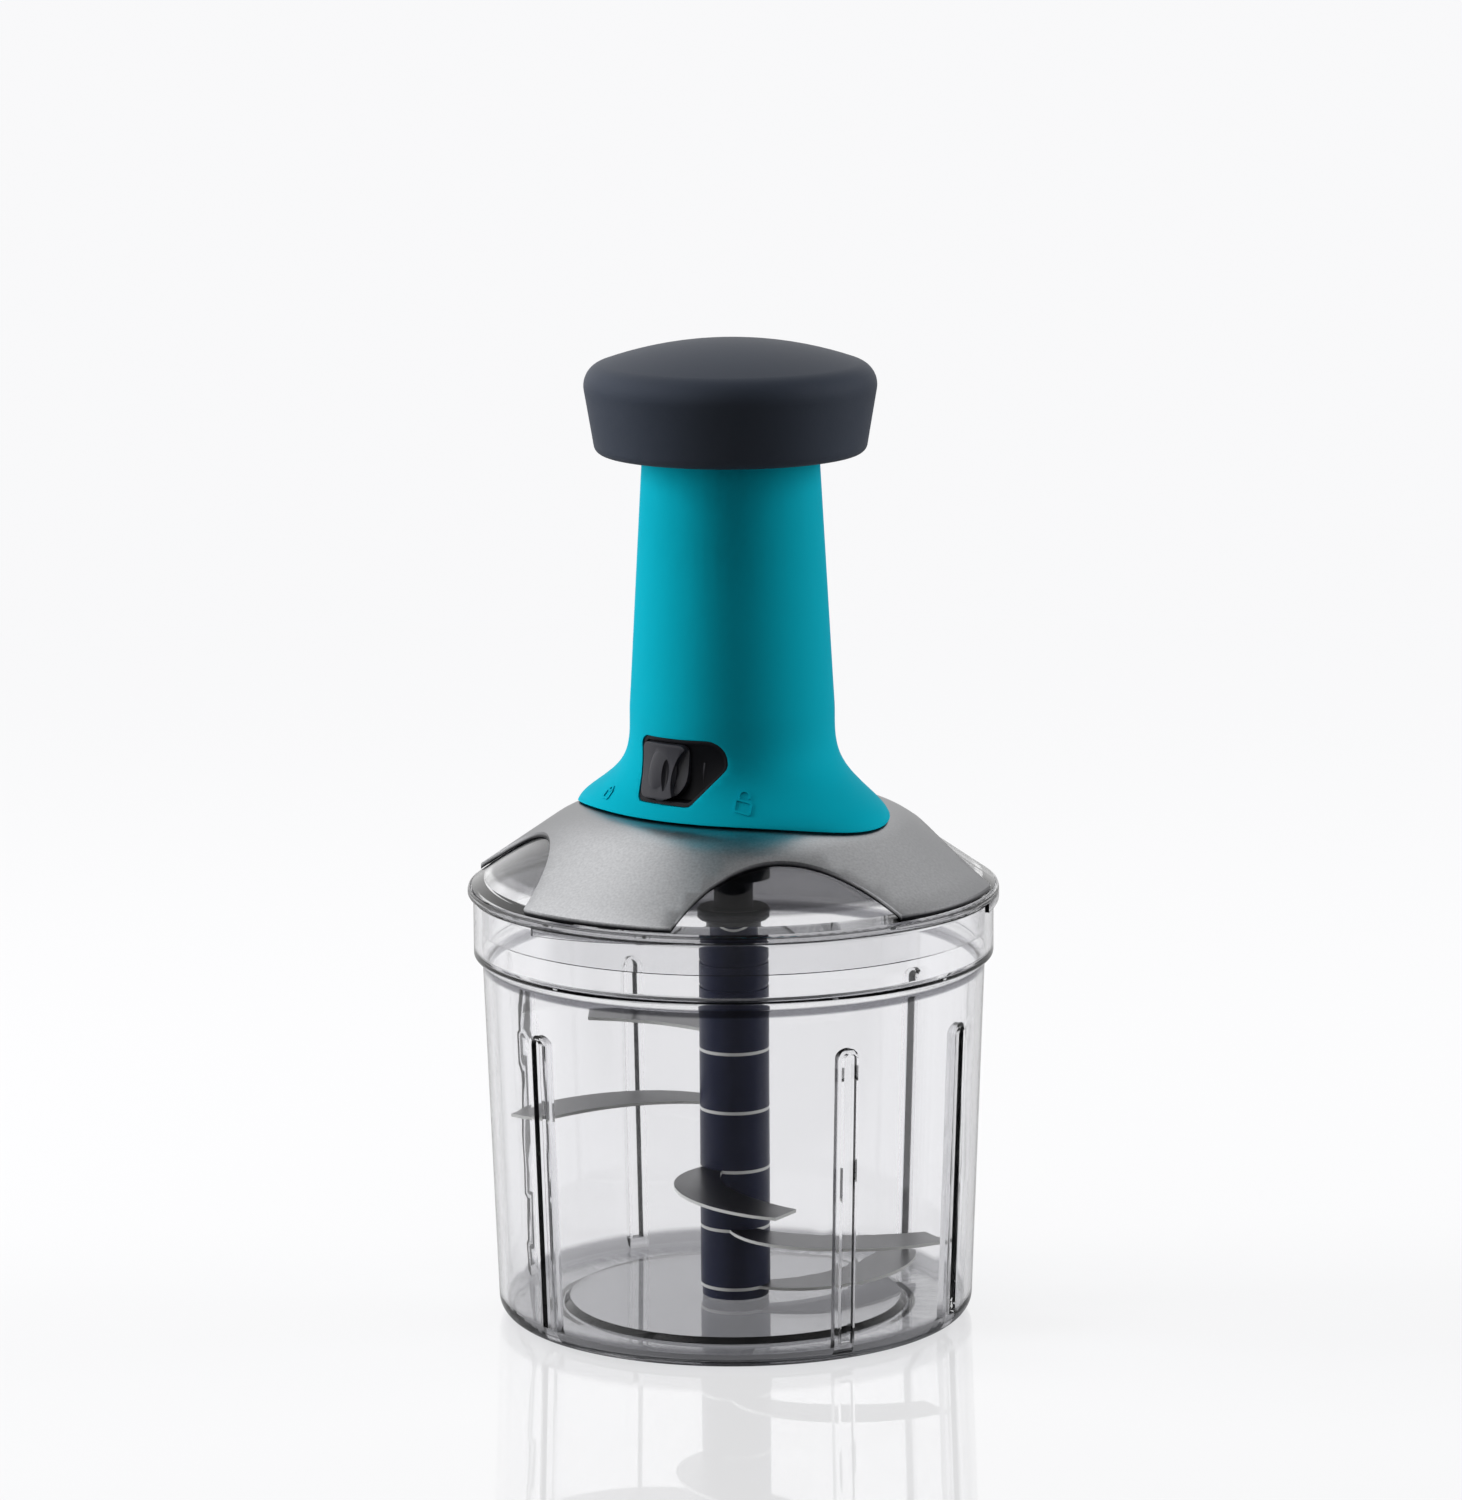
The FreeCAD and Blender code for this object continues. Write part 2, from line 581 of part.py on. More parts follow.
def make_lid_body():
    lip_z = FLANGE_LOW_Z + FLANGE_LIP_H
    seat_z = lip_z + SKIN_GAP
    outer = under_dome(LID_OFFSET, COVER_EDGE_R, FLANGE_LOW_Z)
    inner = under_dome(LID_OFFSET - LID_T, SKIRT_R - SKIRT_T, SKIRT_LOW_Z - PAST)
    flange = revolved([
        (SKIRT_R - SKIRT_T, FLANGE_LOW_Z, 0),
        (FLANGE_R, FLANGE_LOW_Z, 0.6),
        (FLANGE_R, lip_z, 0.4),
        (COVER_EDGE_R + SKIN_GAP, COVER_EDGE_Z - SKIN_GAP, 0.3),
        (COVER_EDGE_R + SKIN_GAP, seat_z, 0),
        (SKIRT_R - SKIRT_T, seat_z, 0)])
    skirt = tube(SKIRT_R, SKIRT_R - SKIRT_T, SKIRT_LOW_Z, lip_z)
    body = outer.fuse(flange).fuse(skirt).cut(inner)
    lid_top = LID_TOP_Z + LID_OFFSET
    boss_low = HUB_CAP_TOP_Z - HUB_SCREW_LENGTH - BOSS_FLOOR_T
    for azimuth in HUB_SCREW_AZIMUTHS:
        body = body.fuse(cylinder(BOSS_R, boss_low, lid_top - LID_T / 2,
                                  at(HUB_SCREW_CIRCLE_R, azimuth)))
    body = body.cut(cylinder(HUB_HOLE_R, boss_low - PAST, LID_TOP_Z))
    for azimuth in HUB_SCREW_AZIMUTHS:
        body = body.cut(cylinder(SCREW_R, boss_low + BOSS_FLOOR_T, LID_TOP_Z,
                                 at(HUB_SCREW_CIRCLE_R, azimuth)))
    for azimuth in POST_AZIMUTHS:
        point = at(POST_CIRCLE_R, azimuth)
        body = body.cut(cylinder(SCREW_R + SKIN_GAP, boss_low, LID_TOP_Z, point))
        body = body.cut(cylinder(SCREW_HEAD_R + HEAD_GAP, boss_low, lid_top - LID_T, point))
    for i in range(TAB_COUNT):
        body = body.fuse(make_tab(TAB_AZIMUTH + 360 / TAB_COUNT * i))
    return body


def make_tab(start):
    """Rim tab: a step down at one end that fades out along the rim."""
    inner = BAND_R + MOVE_GAP
    low = FLANGE_LOW_Z - TAB_DROP
    tab = sector(FLANGE_R, inner, low, FLANGE_LOW_Z + FLANGE_LIP_H * 0.8, start, start + TAB_SPAN)
    half = FLANGE_R * math.sin(math.radians(TAB_SPAN / 2)) + PAST
    ramp = radial_prism([(-half, low - PAST, 0), (-half, low, 0),
                         (half, FLANGE_LOW_Z + FACE_GAP, 0), (half, low - PAST, 0)],
                        start + TAB_SPAN / 2, RECESS_R, FLANGE_R + PAST)
    return tab.cut(ramp)


# ---- column -----------------------------------------------------------------
FOOT_LOW_Z = FLARE_BOTTOM_Z - FOOT_DEPTH
NECK_FOOT_Z = FLARE_BOTTOM_Z + FLARE_H
FLARE_STEPS = 7
CAVITY_STEPS = 4


def column_half_axis(foot_r, z):
    """Outside of the column at a height, along the half axis that ends at foot_r."""
    rise = min(max((z - FLARE_BOTTOM_Z) / FLARE_H, 0.0), 1.0)
    flare = (1 - math.cos(math.pi * (1 - rise) ** FLARE_SHAPE)) / 2
    climb = max((z - NECK_FOOT_Z) / (COLUMN_TOP_Z - NECK_FOOT_Z), 0.0)
    neck_r = COLUMN_NECK_R + (COLUMN_TOP_R - COLUMN_NECK_R) * climb
    return neck_r + (foot_r - COLUMN_NECK_R) * flare


def column_profile(foot_r, inset):
    """Side line of the column for one half axis of its oval foot."""
    heights = [FOOT_LOW_Z]
    heights += [FLARE_BOTTOM_Z + FLARE_H * i / FLARE_STEPS for i in range(FLARE_STEPS + 1)]
    heights += [NECK_FOOT_Z + (COLUMN_TOP_Z - NECK_FOOT_Z) * share for share in (0.1, 0.5, 1.0)]
    points = [V(column_half_axis(foot_r, z) - inset, 0, z) for z in heights]
    curve = Part.BSplineCurve()
    curve.interpolate(Points=points, Parameters=[float(i) for i in range(len(points))])
    return curve


def column_cavity():
    """Hollow of the column's foot, stepped so that its wall is never too thin."""
    along = direction(COLLAR_AZIMUTH)
    across = UP.cross(along)
    cavity = cylinder(COLUMN_NECK_R - COLUMN_WALL, FOOT_LOW_Z - PAST, CAVITY_TOP_Z)
    for step in range(1, CAVITY_STEPS + 1):
        top = FLARE_BOTTOM_Z + FLARE_H * 0.6 * step / CAVITY_STEPS
        long_r = column_half_axis(COLLAR_LONG_R, top) - COLUMN_WALL
        short_r = column_half_axis(COLLAR_SHORT_R, top) - COLUMN_WALL
        centre = V(0, 0, FOOT_LOW_Z - PAST)
        oval = Part.Ellipse(centre + along * long_r, centre + across * short_r, centre)
        layer = Part.Face(Part.Wire(oval.toShape())).extrude(UP * (top - centre.z))
        cavity = cavity.fuse(layer)
    return cavity


def column_form(inset):
    """Solid form of the column, round above and oval at the foot, inset by a wall."""
    long_side = column_profile(COLLAR_LONG_R, inset)
    short_side = column_profile(COLLAR_SHORT_R, inset)
    along = direction(COLLAR_AZIMUTH)
    across = UP.cross(along)
    circle_poles = [(1, 0), (1, 1), (0, 1), (-1, 1), (-1, 0), (-1, -1), (0, -1), (1, -1), (1, 0)]
    poles, weights = [], []
    for u, v in circle_poles:
        poles.append([along * (u * a.x) + across * (v * b.x) + V(0, 0, a.z)
                      for a, b in zip(long_side.getPoles(), short_side.getPoles())])
        weights.append([1.0 if u * v == 0 else math.sqrt(0.5)] * len(poles[-1]))
    surface = Part.BSplineSurface()
    surface.buildFromPolesMultsKnots(
        poles, [3, 2, 2, 2, 3], long_side.getMultiplicities(), [0, 1, 2, 3, 4],
        long_side.getKnots(), False, False, 2, long_side.Degree, weights)
    side = surface.toShape()
    ends = [Part.Face(Part.Wire(e)) for e in side.Edges if e.BoundBox.ZLength < 1e-3]
    shell = Part.makeShell([side] + ends)
    shell.sewShape()
    return Part.makeSolid(shell)


GUIDE_R = SLEEVE_R + RUN_GAP + GUIDE_WALL
BORE_R = SLEEVE_R + MOVE_GAP * 3
CAVITY_TOP_Z = FLARE_BOTTOM_Z + FLARE_H
WINDOW_OUTLINE = [(x, SILL_Z + h, rounding) for x, h, rounding in WINDOW_CORNERS]


def inset_corners(corners, inset):
    """The same outline moved inwards about its middle by a wall."""
    mid_x = sum(c[0] for c in corners) / len(corners)
    mid_z = sum(c[1] for c in corners) / len(corners)
    half_x = max(abs(c[0] - mid_x) for c in corners)
    half_z = max(abs(c[1] - mid_z) for c in corners)
    return [(mid_x + (x - mid_x) * (1 - inset / half_x),
             mid_z + (z - mid_z) * (1 - inset / half_z), max(r - inset * 0.5, 0.4))
            for x, z, r in corners]


def make_column():
    posts = [cylinder(POST_R, FOOT_LOW_Z, FLARE_BOTTOM_Z + FLARE_H / 2,
                      at(POST_CIRCLE_R, azimuth))
             for azimuth in POST_AZIMUTHS]
    cuts = [column_cavity().cut(posts),
            cylinder(BORE_R, CAVITY_TOP_Z - PAST, COLUMN_TOP_Z + PAST),
            cylinder(GUIDE_R, COLUMN_TOP_Z - GUIDE_H, COLUMN_TOP_Z + PAST),
            radial_prism(WINDOW_OUTLINE, LOCK_AZIMUTH, NUT_TUBE_R, COLLAR_LONG_R + PAST)]
    cuts += [cylinder(SCREW_R, FOOT_LOW_Z, LID_TOP_Z + COLUMN_SCREW_REACH + HEAD_GAP,
                      at(POST_CIRCLE_R, azimuth))
             for azimuth in POST_AZIMUTHS]
    lid_form = under_dome(COLLAR_GAP, COVER_EDGE_R, FLANGE_LOW_Z)
    return column_form(0).cut(lid_form).cut(cuts)


def make_guide_bush():
    return tube(GUIDE_R, SLEEVE_R + RUN_GAP, COLUMN_TOP_Z - GUIDE_H, COLUMN_TOP_Z - MOVE_GAP)


def make_column_screws():
    head_z = LID_TOP_Z + LID_OFFSET - LID_T
    length = LID_TOP_Z + COLUMN_SCREW_REACH - head_z
    return Part.makeCompound([screw(at(POST_CIRCLE_R, azimuth, head_z), length, True)
                              for azimuth in POST_AZIMUTHS])


# ---- hub --------------------------------------------------------------------
HUB_FLOOR_Z = HUB_BOTTOM_Z + HUB_NOSE_H
HUB_CAVITY_Z = HUB_FLOOR_Z + HUB_FLOOR_T
HUB_CAVITY_R = HUB_R - HUB_WALL
BUSH_OUTER_R = SPINDLE_R + RUN_GAP + BUSH_WALL


def make_hub_housing():
    hub = cylinder(HUB_NOSE_R, HUB_BOTTOM_Z, HUB_CAVITY_Z)
    hub = hub.fuse(cylinder(HUB_R, HUB_FLOOR_Z, HUB_CAP_Z))
    hub = hub.fuse(cylinder(HUB_FLANGE_R, LID_TOP_Z, HUB_CAP_Z))
    hub = hub.cut(cylinder(HUB_CAVITY_R, HUB_CAVITY_Z, HUB_CAP_Z + PAST))
    hub = hub.cut(cylinder(BUSH_OUTER_R, HUB_BOTTOM_Z - PAST, HUB_CAVITY_Z + PAST))
    for azimuth in HUB_SCREW_AZIMUTHS:
        hub = hub.cut(cylinder(SCREW_R + SKIN_GAP, LID_TOP_Z - PAST, HUB_CAP_Z + PAST,
                               at(HUB_SCREW_CIRCLE_R, azimuth)))
    return hub


def make_hub_bush():
    return tube(BUSH_OUTER_R, SPINDLE_R + RUN_GAP, HUB_BOTTOM_Z, HUB_CAVITY_Z)


def make_hub_cap():
    cap = cylinder(HUB_FLANGE_R, HUB_CAP_Z, HUB_CAP_TOP_Z)
    spigot_r = HUB_CAVITY_R - SKIN_GAP
    cap = cap.fuse(tube(spigot_r, spigot_r - SPIGOT_WALL, HUB_CAP_Z - SPIGOT_H, HUB_CAP_TOP_Z))
    locator_r = SPRING_MEAN_R - SPRING_WIRE_R - MOVE_GAP
    cap = cap.fuse(tube(locator_r, locator_r - LOCATOR_WALL, HUB_CAP_Z, HUB_CAP_TOP_Z + LOCATOR_H))
    cap = cap.cut(cylinder(ROD_JOURNAL_R + RUN_GAP, HUB_CAVITY_Z, HUB_CAP_TOP_Z + PAST))
    for azimuth in HUB_SCREW_AZIMUTHS:
        cap = cap.cut(cylinder(SCREW_R + SKIN_GAP, HUB_CAVITY_Z, HUB_CAP_TOP_Z + PAST,
                               at(HUB_SCREW_CIRCLE_R, azimuth)))
    return cap


def make_hub_screws():
    return Part.makeCompound([screw(at(HUB_SCREW_CIRCLE_R, azimuth, HUB_CAP_TOP_Z),
                                    HUB_SCREW_LENGTH, False)
                              for azimuth in HUB_SCREW_AZIMUTHS])


# ---- drive ------------------------------------------------------------------
COUPLER_AF = SOCKET_AF - 2 * MOVE_GAP
CLUTCH_LOW_Z = HUB_CAVITY_Z + FACE_GAP
CLUTCH_FACE_Z = CLUTCH_LOW_Z + CLUTCH_H - TOOTH_H
CLUTCH_TOP_Z = CLUTCH_FACE_Z + TOOTH_H + CLUTCH_H
ROD_LOW_Z = CLUTCH_FACE_Z + TOOTH_H
JOURNAL_TOP_Z = HUB_CAP_TOP_Z + LOCATOR_H


def make_output_coupler():
    """Hexagonal driver, collar and spindle in one moulding."""
    coupler = hexagon(COUPLER_AF, SHAFT_TOP_Z - SOCKET_DEPTH + FACE_GAP * 3, COUPLER_TOP_Z)
    coupler = coupler.fuse(cylinder(COUPLER_NECK_R, COUPLER_NECK_Z, COUPLER_TOP_Z))
    collar = cylinder(COUPLER_COLLAR_R, COUPLER_COLLAR_Z, COUPLER_TOP_Z)
    collar = collar.makeChamfer(0.5, [e for e in collar.Edges if e.Curve.TypeId == "Part::GeomCircle"])
    coupler = coupler.fuse(collar)
    return coupler.fuse(cylinder(SPINDLE_R, COUPLER_COLLAR_Z, CLUTCH_FACE_Z))


def clutch_teeth(height):
    """Ring of saw teeth that rise from the clutch face."""
    inner = SPINDLE_R + TOOTH_ROOT_GAP
    step = 360 / CLUTCH_TEETH
    teeth = []
    for i in range(CLUTCH_TEETH):
        block = sector(CLUTCH_R, inner, CLUTCH_FACE_Z, CLUTCH_FACE_Z + height, i * step, (i + 1) * step)
        middle = i * step + step / 2
        half = CLUTCH_R * math.tan(math.radians(step / 2))
        ramp = radial_prism([(-half, CLUTCH_FACE_Z, 0), (half, CLUTCH_FACE_Z + height, 0),
                             (half, CLUTCH_TOP_Z, 0), (-half, CLUTCH_TOP_Z, 0)],
                            middle, ROD_ROUND, CLUTCH_R + PAST)
        teeth.append(block.cut(ramp))
    return teeth


def make_clutch_lower():
    clutch = cylinder(CLUTCH_R, CLUTCH_LOW_Z, CLUTCH_FACE_Z)
    clutch = clutch.cut(cylinder(SPINDLE_R, CLUTCH_LOW_Z - PAST, CLUTCH_FACE_Z + PAST))
    for tooth in clutch_teeth(TOOTH_H):
        clutch = clutch.fuse(tooth)
    return clutch


def make_clutch_upper():
    clutch = cylinder(CLUTCH_R, CLUTCH_FACE_Z + RUN_GAP, CLUTCH_TOP_Z)
    clutch = clutch.cut(cylinder(SPINDLE_R + TOOTH_ROOT_GAP - SKIN_GAP, HUB_CAVITY_Z, CLUTCH_FACE_Z + TOOTH_H))
    for tooth in clutch_teeth(TOOTH_H):
        clutch = clutch.cut(tooth)
    return clutch.cut(cylinder(ROD_JOURNAL_R, HUB_CAVITY_Z, CLUTCH_TOP_Z + PAST))


def make_clutch_spring():
    return coil(CLUTCH_SPRING_R, CLUTCH_WIRE_R, CLUTCH_TOP_Z + SPRING_GAP, HUB_CAP_Z - SPRING_GAP, CLUTCH_TURNS)


def make_drive_rod():
    rod = twisted_bar(ROD_SIDE, ROD_ROUND, HUB_CAP_TOP_Z, ROD_TOP_Z)
    return rod.fuse(cylinder(ROD_JOURNAL_R, ROD_LOW_Z, JOURNAL_TOP_Z))


# ---- plunger ----------------------------------------------------------------
SLEEVE_INNER_R = SLEEVE_R - SLEEVE_WALL
CAP_PLATE_Z = CAP_BOTTOM_Z + CAP_PLATE_SINK
CAP_CORE_Z = CAP_PLATE_Z + CAP_PLATE_T + SLEEVE_FLANGE_T
SLEEVE_FLANGE_R = SLEEVE_R + SLEEVE_FLANGE_W
ROD_TOP_Z = CAP_CORE_Z - ROD_TOP_GAP
CAP_MOUTH_R = CAP_BOTTOM_R - CAP_SKIN
NUT_TUBE_LOW_Z = HUB_CAP_TOP_Z + NUT_TUBE_GAP
NUT_Z = NUT_TUBE_LOW_Z + NUT_INSET
SPRING_SEAT_Z = CAP_CORE_Z - NUT_TUBE_FLANGE_T
LUG_Z = SLEEVE_BOTTOM_Z + LUG_RISE
SLOT_ANGLE = LUG_ANGLE + LOCK_TRAVEL + 2 * SLOT_MARGIN


def cap_form(inset, low):
    """Tapered, domed form of the cap, inset by a wall."""
    height = CAP_TOP_Z - low
    low_r = CAP_BOTTOM_R - inset
    sides = Part.makeCone(low_r, low_r + CAP_TAPER * height, height, V(0, 0, low))
    dome_r = CAP_DOME_R - inset
    dome = Part.makeSphere(dome_r, V(0, 0, CAP_TOP_Z - CAP_DOME_R))
    form = sides.common(dome)
    rim = max(form.Edges, key=lambda e: (e.Length > 10) * (e.BoundBox.XLength + e.CenterOfMass.z))
    return form.makeFillet(CAP_ROUND - inset, [rim])


def make_cap_cover():
    outer = cap_form(0, CAP_BOTTOM_Z)
    bottom = [e for e in outer.Edges
              if abs(e.BoundBox.ZMax - CAP_BOTTOM_Z) < 0.01 and e.BoundBox.XLength > CAP_BOTTOM_R]
    outer = outer.makeFillet(CAP_EDGE_ROUND, bottom)
    return outer.cut(cap_form(CAP_SKIN, CAP_BOTTOM_Z - 0.01))


def make_cap_core():
    inside = cap_form(CAP_SKIN + SKIN_GAP, CAP_BOTTOM_Z)
    core = cylinder(CAP_BOTTOM_R * 2, CAP_CORE_Z, CAP_CORE_Z + CAP_CORE_T)
    for i in range(CAP_RIBS):
        rib = Part.makeBox(CAP_BOTTOM_R * 2, CAP_RIB_T, CAP_TOP_Z - CAP_CORE_Z,
                           V(0, -CAP_RIB_T / 2, CAP_CORE_Z))
        rib.rotate(ORIGIN, UP, 360 / CAP_RIBS * i)
        core = core.fuse(rib)
    core = core.fuse(cylinder(8.0, CAP_CORE_Z, CAP_TOP_Z)).common(inside)
    for azimuth in CAP_SCREW_AZIMUTHS:
        point = at(CAP_POST_CIRCLE_R, azimuth)
        post = cylinder(POST_R, CAP_PLATE_Z + CAP_PLATE_T, CAP_CORE_Z + CAP_CORE_T * 2, point)
        core = core.fuse(post)
    for azimuth in CAP_SCREW_AZIMUTHS:
        point = at(CAP_POST_CIRCLE_R, azimuth)
        core = core.cut(cylinder(SCREW_R, CAP_PLATE_Z, CAP_CORE_Z + CAP_CORE_T + PAST, point))
    return core


CAP_SCREW_AZIMUTHS = [LOCK_AZIMUTH + 45 + 90 * i for i in range(4)]


def make_cap_plate():
    plate = tube(CAP_MOUTH_R - SKIN_GAP, SLEEVE_R + SKIN_GAP, CAP_PLATE_Z, CAP_PLATE_Z + CAP_PLATE_T)
    for azimuth in CAP_SCREW_AZIMUTHS:
        point = at(CAP_POST_CIRCLE_R, azimuth)
        plate = plate.cut(cylinder(SCREW_R + SKIN_GAP, CAP_PLATE_Z - PAST, CAP_CORE_Z, point))
        plate = plate.cut(cylinder(SCREW_HEAD_R + HEAD_GAP, CAP_PLATE_Z - PAST,
                                   CAP_PLATE_Z + COUNTERBORE, point))
    return plate


def make_cap_screws():
    start = CAP_PLATE_Z + COUNTERBORE
    return Part.makeCompound([screw(at(CAP_POST_CIRCLE_R, azimuth, start),
                                    CAP_CORE_Z + CAP_CORE_T - start, True)
                              for azimuth in CAP_SCREW_AZIMUTHS])


def make_plunger_sleeve():
    sleeve = cylinder(SLEEVE_R, SLEEVE_BOTTOM_Z, CAP_CORE_Z)
    sleeve = sleeve.fuse(cylinder(SLEEVE_FLANGE_R, CAP_PLATE_Z + CAP_PLATE_T, CAP_CORE_Z))
    sleeve = sleeve.cut(cylinder(SLEEVE_INNER_R, SLEEVE_BOTTOM_Z - PAST, CAP_CORE_Z + PAST))
    for i in range(LUG_COUNT):
        start = NECK_AZIMUTH - LUG_ANGLE / 2 - SLOT_MARGIN + 360 / LUG_COUNT * i
        sleeve = sleeve.cut(sector(SLEEVE_R + PAST, SLEEVE_INNER_R - PAST, SLEEVE_BOTTOM_Z - PAST,
                                   LUG_Z + LUG_H + LUG_HEADROOM, start, start + SLOT_ANGLE))
    return sleeve


def make_nut_tube():
    inner = NUT_TUBE_R - NUT_TUBE_WALL
    body = cylinder(NUT_TUBE_R, NUT_TUBE_LOW_Z, CAP_CORE_Z)
    body = body.fuse(cylinder(SLEEVE_INNER_R - SKIN_GAP, SPRING_SEAT_Z, CAP_CORE_Z))
    return body.cut(cylinder(inner, NUT_TUBE_LOW_Z - PAST, CAP_CORE_Z + PAST))


def make_drive_nut():
    nut = cylinder(NUT_TUBE_R - NUT_TUBE_WALL, NUT_Z, NUT_Z + NUT_H)
    return nut.cut(twisted_bar(ROD_SIDE + 2 * NUT_GAP, ROD_ROUND, NUT_Z - PAST, NUT_Z + NUT_H + PAST))


def make_return_spring():
    return coil(SPRING_MEAN_R, SPRING_WIRE_R, HUB_CAP_TOP_Z + SPRING_GAP, SPRING_SEAT_Z - SPRING_GAP, SPRING_TURNS)


# ---- lock -------------------------------------------------------------------
LOCK_RING_INNER_R = SLEEVE_R + MOVE_GAP
LOCK_RING_R = LOCK_RING_INNER_R + LOCK_RING_WALL
LOCK_RING_Z = HUB_CAP_TOP_Z + FACE_GAP
TRAY_FLOOR_R = LOCK_RING_R + TRAY_BACK_GAP
TRAY_FACE_R = TRAY_FLOOR_R + TRAY_FLOOR_T
WINDOW_TOP_Z = max(z for x, z, rounding in WINDOW_OUTLINE)
NECK_Z = SILL_Z + BUTTON_LIFT + BUTTON_H / 2


def make_lock_ring():
    top = LOCK_RING_Z + LOCK_RING_H
    ring = tube(LOCK_RING_R, LOCK_RING_INNER_R, LOCK_RING_Z, top)
    head_room_r = HUB_SCREW_CIRCLE_R + SCREW_HEAD_R + HEAD_GAP
    head_room_z = HUB_CAP_TOP_Z + SCREW_HEAD_H + HEAD_GAP
    ring = ring.cut(cylinder(head_room_r, LOCK_RING_Z - PAST, head_room_z))
    for i in range(LUG_COUNT):
        middle = NECK_AZIMUTH + 360 / LUG_COUNT * i
        lug = sector(LOCK_RING_R, LOCK_RING_INNER_R - LUG_DEPTH, LUG_Z, LUG_Z + LUG_H,
                     middle - LUG_ANGLE / 2, middle + LUG_ANGLE / 2)
        ring = ring.fuse(lug)
    neck = sector(TRAY_FACE_R + NECK_REACH, LOCK_RING_INNER_R, NECK_Z - NECK_H / 2,
                  NECK_Z + NECK_H / 2, NECK_AZIMUTH - NECK_HALF_ANGLE, NECK_AZIMUTH + NECK_HALF_ANGLE)
    notch = sector(LOCK_RING_R + PAST, LOCK_RING_R - DETENT_DEPTH, NECK_Z - DETENT_H, NECK_Z + DETENT_H,
                   DETENT_AZIMUTH - LOCK_TRAVEL - NOTCH_MARGIN, DETENT_AZIMUTH + NOTCH_MARGIN)
    return ring.fuse(neck).cut(notch)


def make_lock_tray():
    """Dark tray that fills the column's window; the button slides in it."""
    form = column_form(TRAY_LIP)
    block = radial_prism(inset_corners(WINDOW_OUTLINE, SKIN_GAP), LOCK_AZIMUTH, NUT_TUBE_R, COLLAR_LONG_R)
    tray = block.common(form).cut(cylinder(TRAY_FLOOR_R, SILL_Z - PAST, WINDOW_TOP_Z + PAST))
    pocket = radial_prism(inset_corners(WINDOW_OUTLINE, SKIN_GAP + TRAY_WALL), LOCK_AZIMUTH,
                          NUT_TUBE_R, COLLAR_LONG_R)
    pocket = pocket.cut(cylinder(TRAY_FACE_R, SILL_Z - PAST, WINDOW_TOP_Z + PAST))
    slot = sector(TRAY_FACE_R + PAST, TRAY_FLOOR_R - PAST,
                  NECK_Z - NECK_H / 2 - FACE_GAP, NECK_Z + NECK_H / 2 + FACE_GAP,
                  NECK_AZIMUTH - NECK_HALF_ANGLE - SLOT_MARGIN / 2,
                  NECK_AZIMUTH + NECK_HALF_ANGLE + LOCK_TRAVEL + SLOT_MARGIN / 2)
    return tray.cut(pocket).cut(slot)


def make_lock_button():
    """Sliding button, its face dished for a fingertip."""
    low = SILL_Z + BUTTON_LIFT
    right = BUTTON_LEFT + BUTTON_W
    outline = [(BUTTON_LEFT, low, BUTTON_ROUND), (right, low, BUTTON_NOSE_ROUND),
               (right, low + BUTTON_H, BUTTON_ROUND),
               (BUTTON_LEFT - BUTTON_LEAN, low + BUTTON_H, BUTTON_ROUND)]
    block = radial_prism(outline, LOCK_AZIMUTH, NUT_TUBE_R, COLLAR_LONG_R)
    pad = block.common(column_form(-BUTTON_PROUD))
    pad = pad.cut(cylinder(TRAY_FACE_R + MOVE_GAP, SILL_Z - PAST, WINDOW_TOP_Z + PAST))
    stretch = FreeCAD.Matrix()
    stretch.scale(DISH_HALF_W, DISH_RADIUS, DISH_HALF_H)
    dish = Part.makeSphere(1.0).transformGeometry(stretch)
    dish.rotate(ORIGIN, UP, LOCK_AZIMUTH)
    face = at(COLUMN_NECK_R + BUTTON_PROUD, LOCK_AZIMUTH, low + BUTTON_H / 2)
    dish.translate(face + direction(LOCK_AZIMUTH) * DISH_SETBACK
                   + direction(LOCK_AZIMUTH + 90) * (BUTTON_LEFT + BUTTON_W / 2))
    neck_room = sector(TRAY_FACE_R + NECK_REACH, TRAY_FLOOR_R - PAST, NECK_Z - NECK_H / 2,
                       NECK_Z + NECK_H / 2, NECK_AZIMUTH - NECK_HALF_ANGLE,
                       NECK_AZIMUTH + NECK_HALF_ANGLE)
    return pad.cut(dish).cut(neck_room)


def make_detent_spring():
    """Leaf spring on the column's inner wall, its bump in the ring's notch."""
    leaf_r = LOCK_RING_R + DETENT_GAP
    low = NECK_Z - DETENT_H / 2
    high = NECK_Z + DETENT_H / 2
    leaf = sector(leaf_r + DETENT_WIRE, leaf_r, low, high,
                  DETENT_AZIMUTH - DETENT_SPAN, DETENT_AZIMUTH + DETENT_SPAN)
    bump = cylinder(DETENT_BUMP_R, low, high, at(leaf_r, DETENT_AZIMUTH))
    return leaf.fuse(bump.common(cylinder(leaf_r + DETENT_WIRE / 2, low, high)))


# ---- build ------------------------------------------------------------------
write("bowl", make_bowl())
write("bowl_pin", make_bowl_pin())

write("blade_core", make_blade_core())
write("shaft_bush", make_shaft_bush())
write("shaft_foot", make_spacer(SHAFT_BOTTOM_Z, BLADE_LEVELS[0] - BLADE_T / 2, SHAFT_R - FOOT_STEP))
for number, (level, tip) in enumerate(zip(BLADE_LEVELS, BLADE_TIP_AZIMUTHS), 1):
    write("blade_%d" % number, make_blade(level, tip))
    if number < len(BLADE_LEVELS):
        write("spacer_%d" % number,
              make_spacer(level + BLADE_T / 2, level + BLADE_PITCH - BLADE_T / 2))
write("shaft_upper", make_shaft_upper())

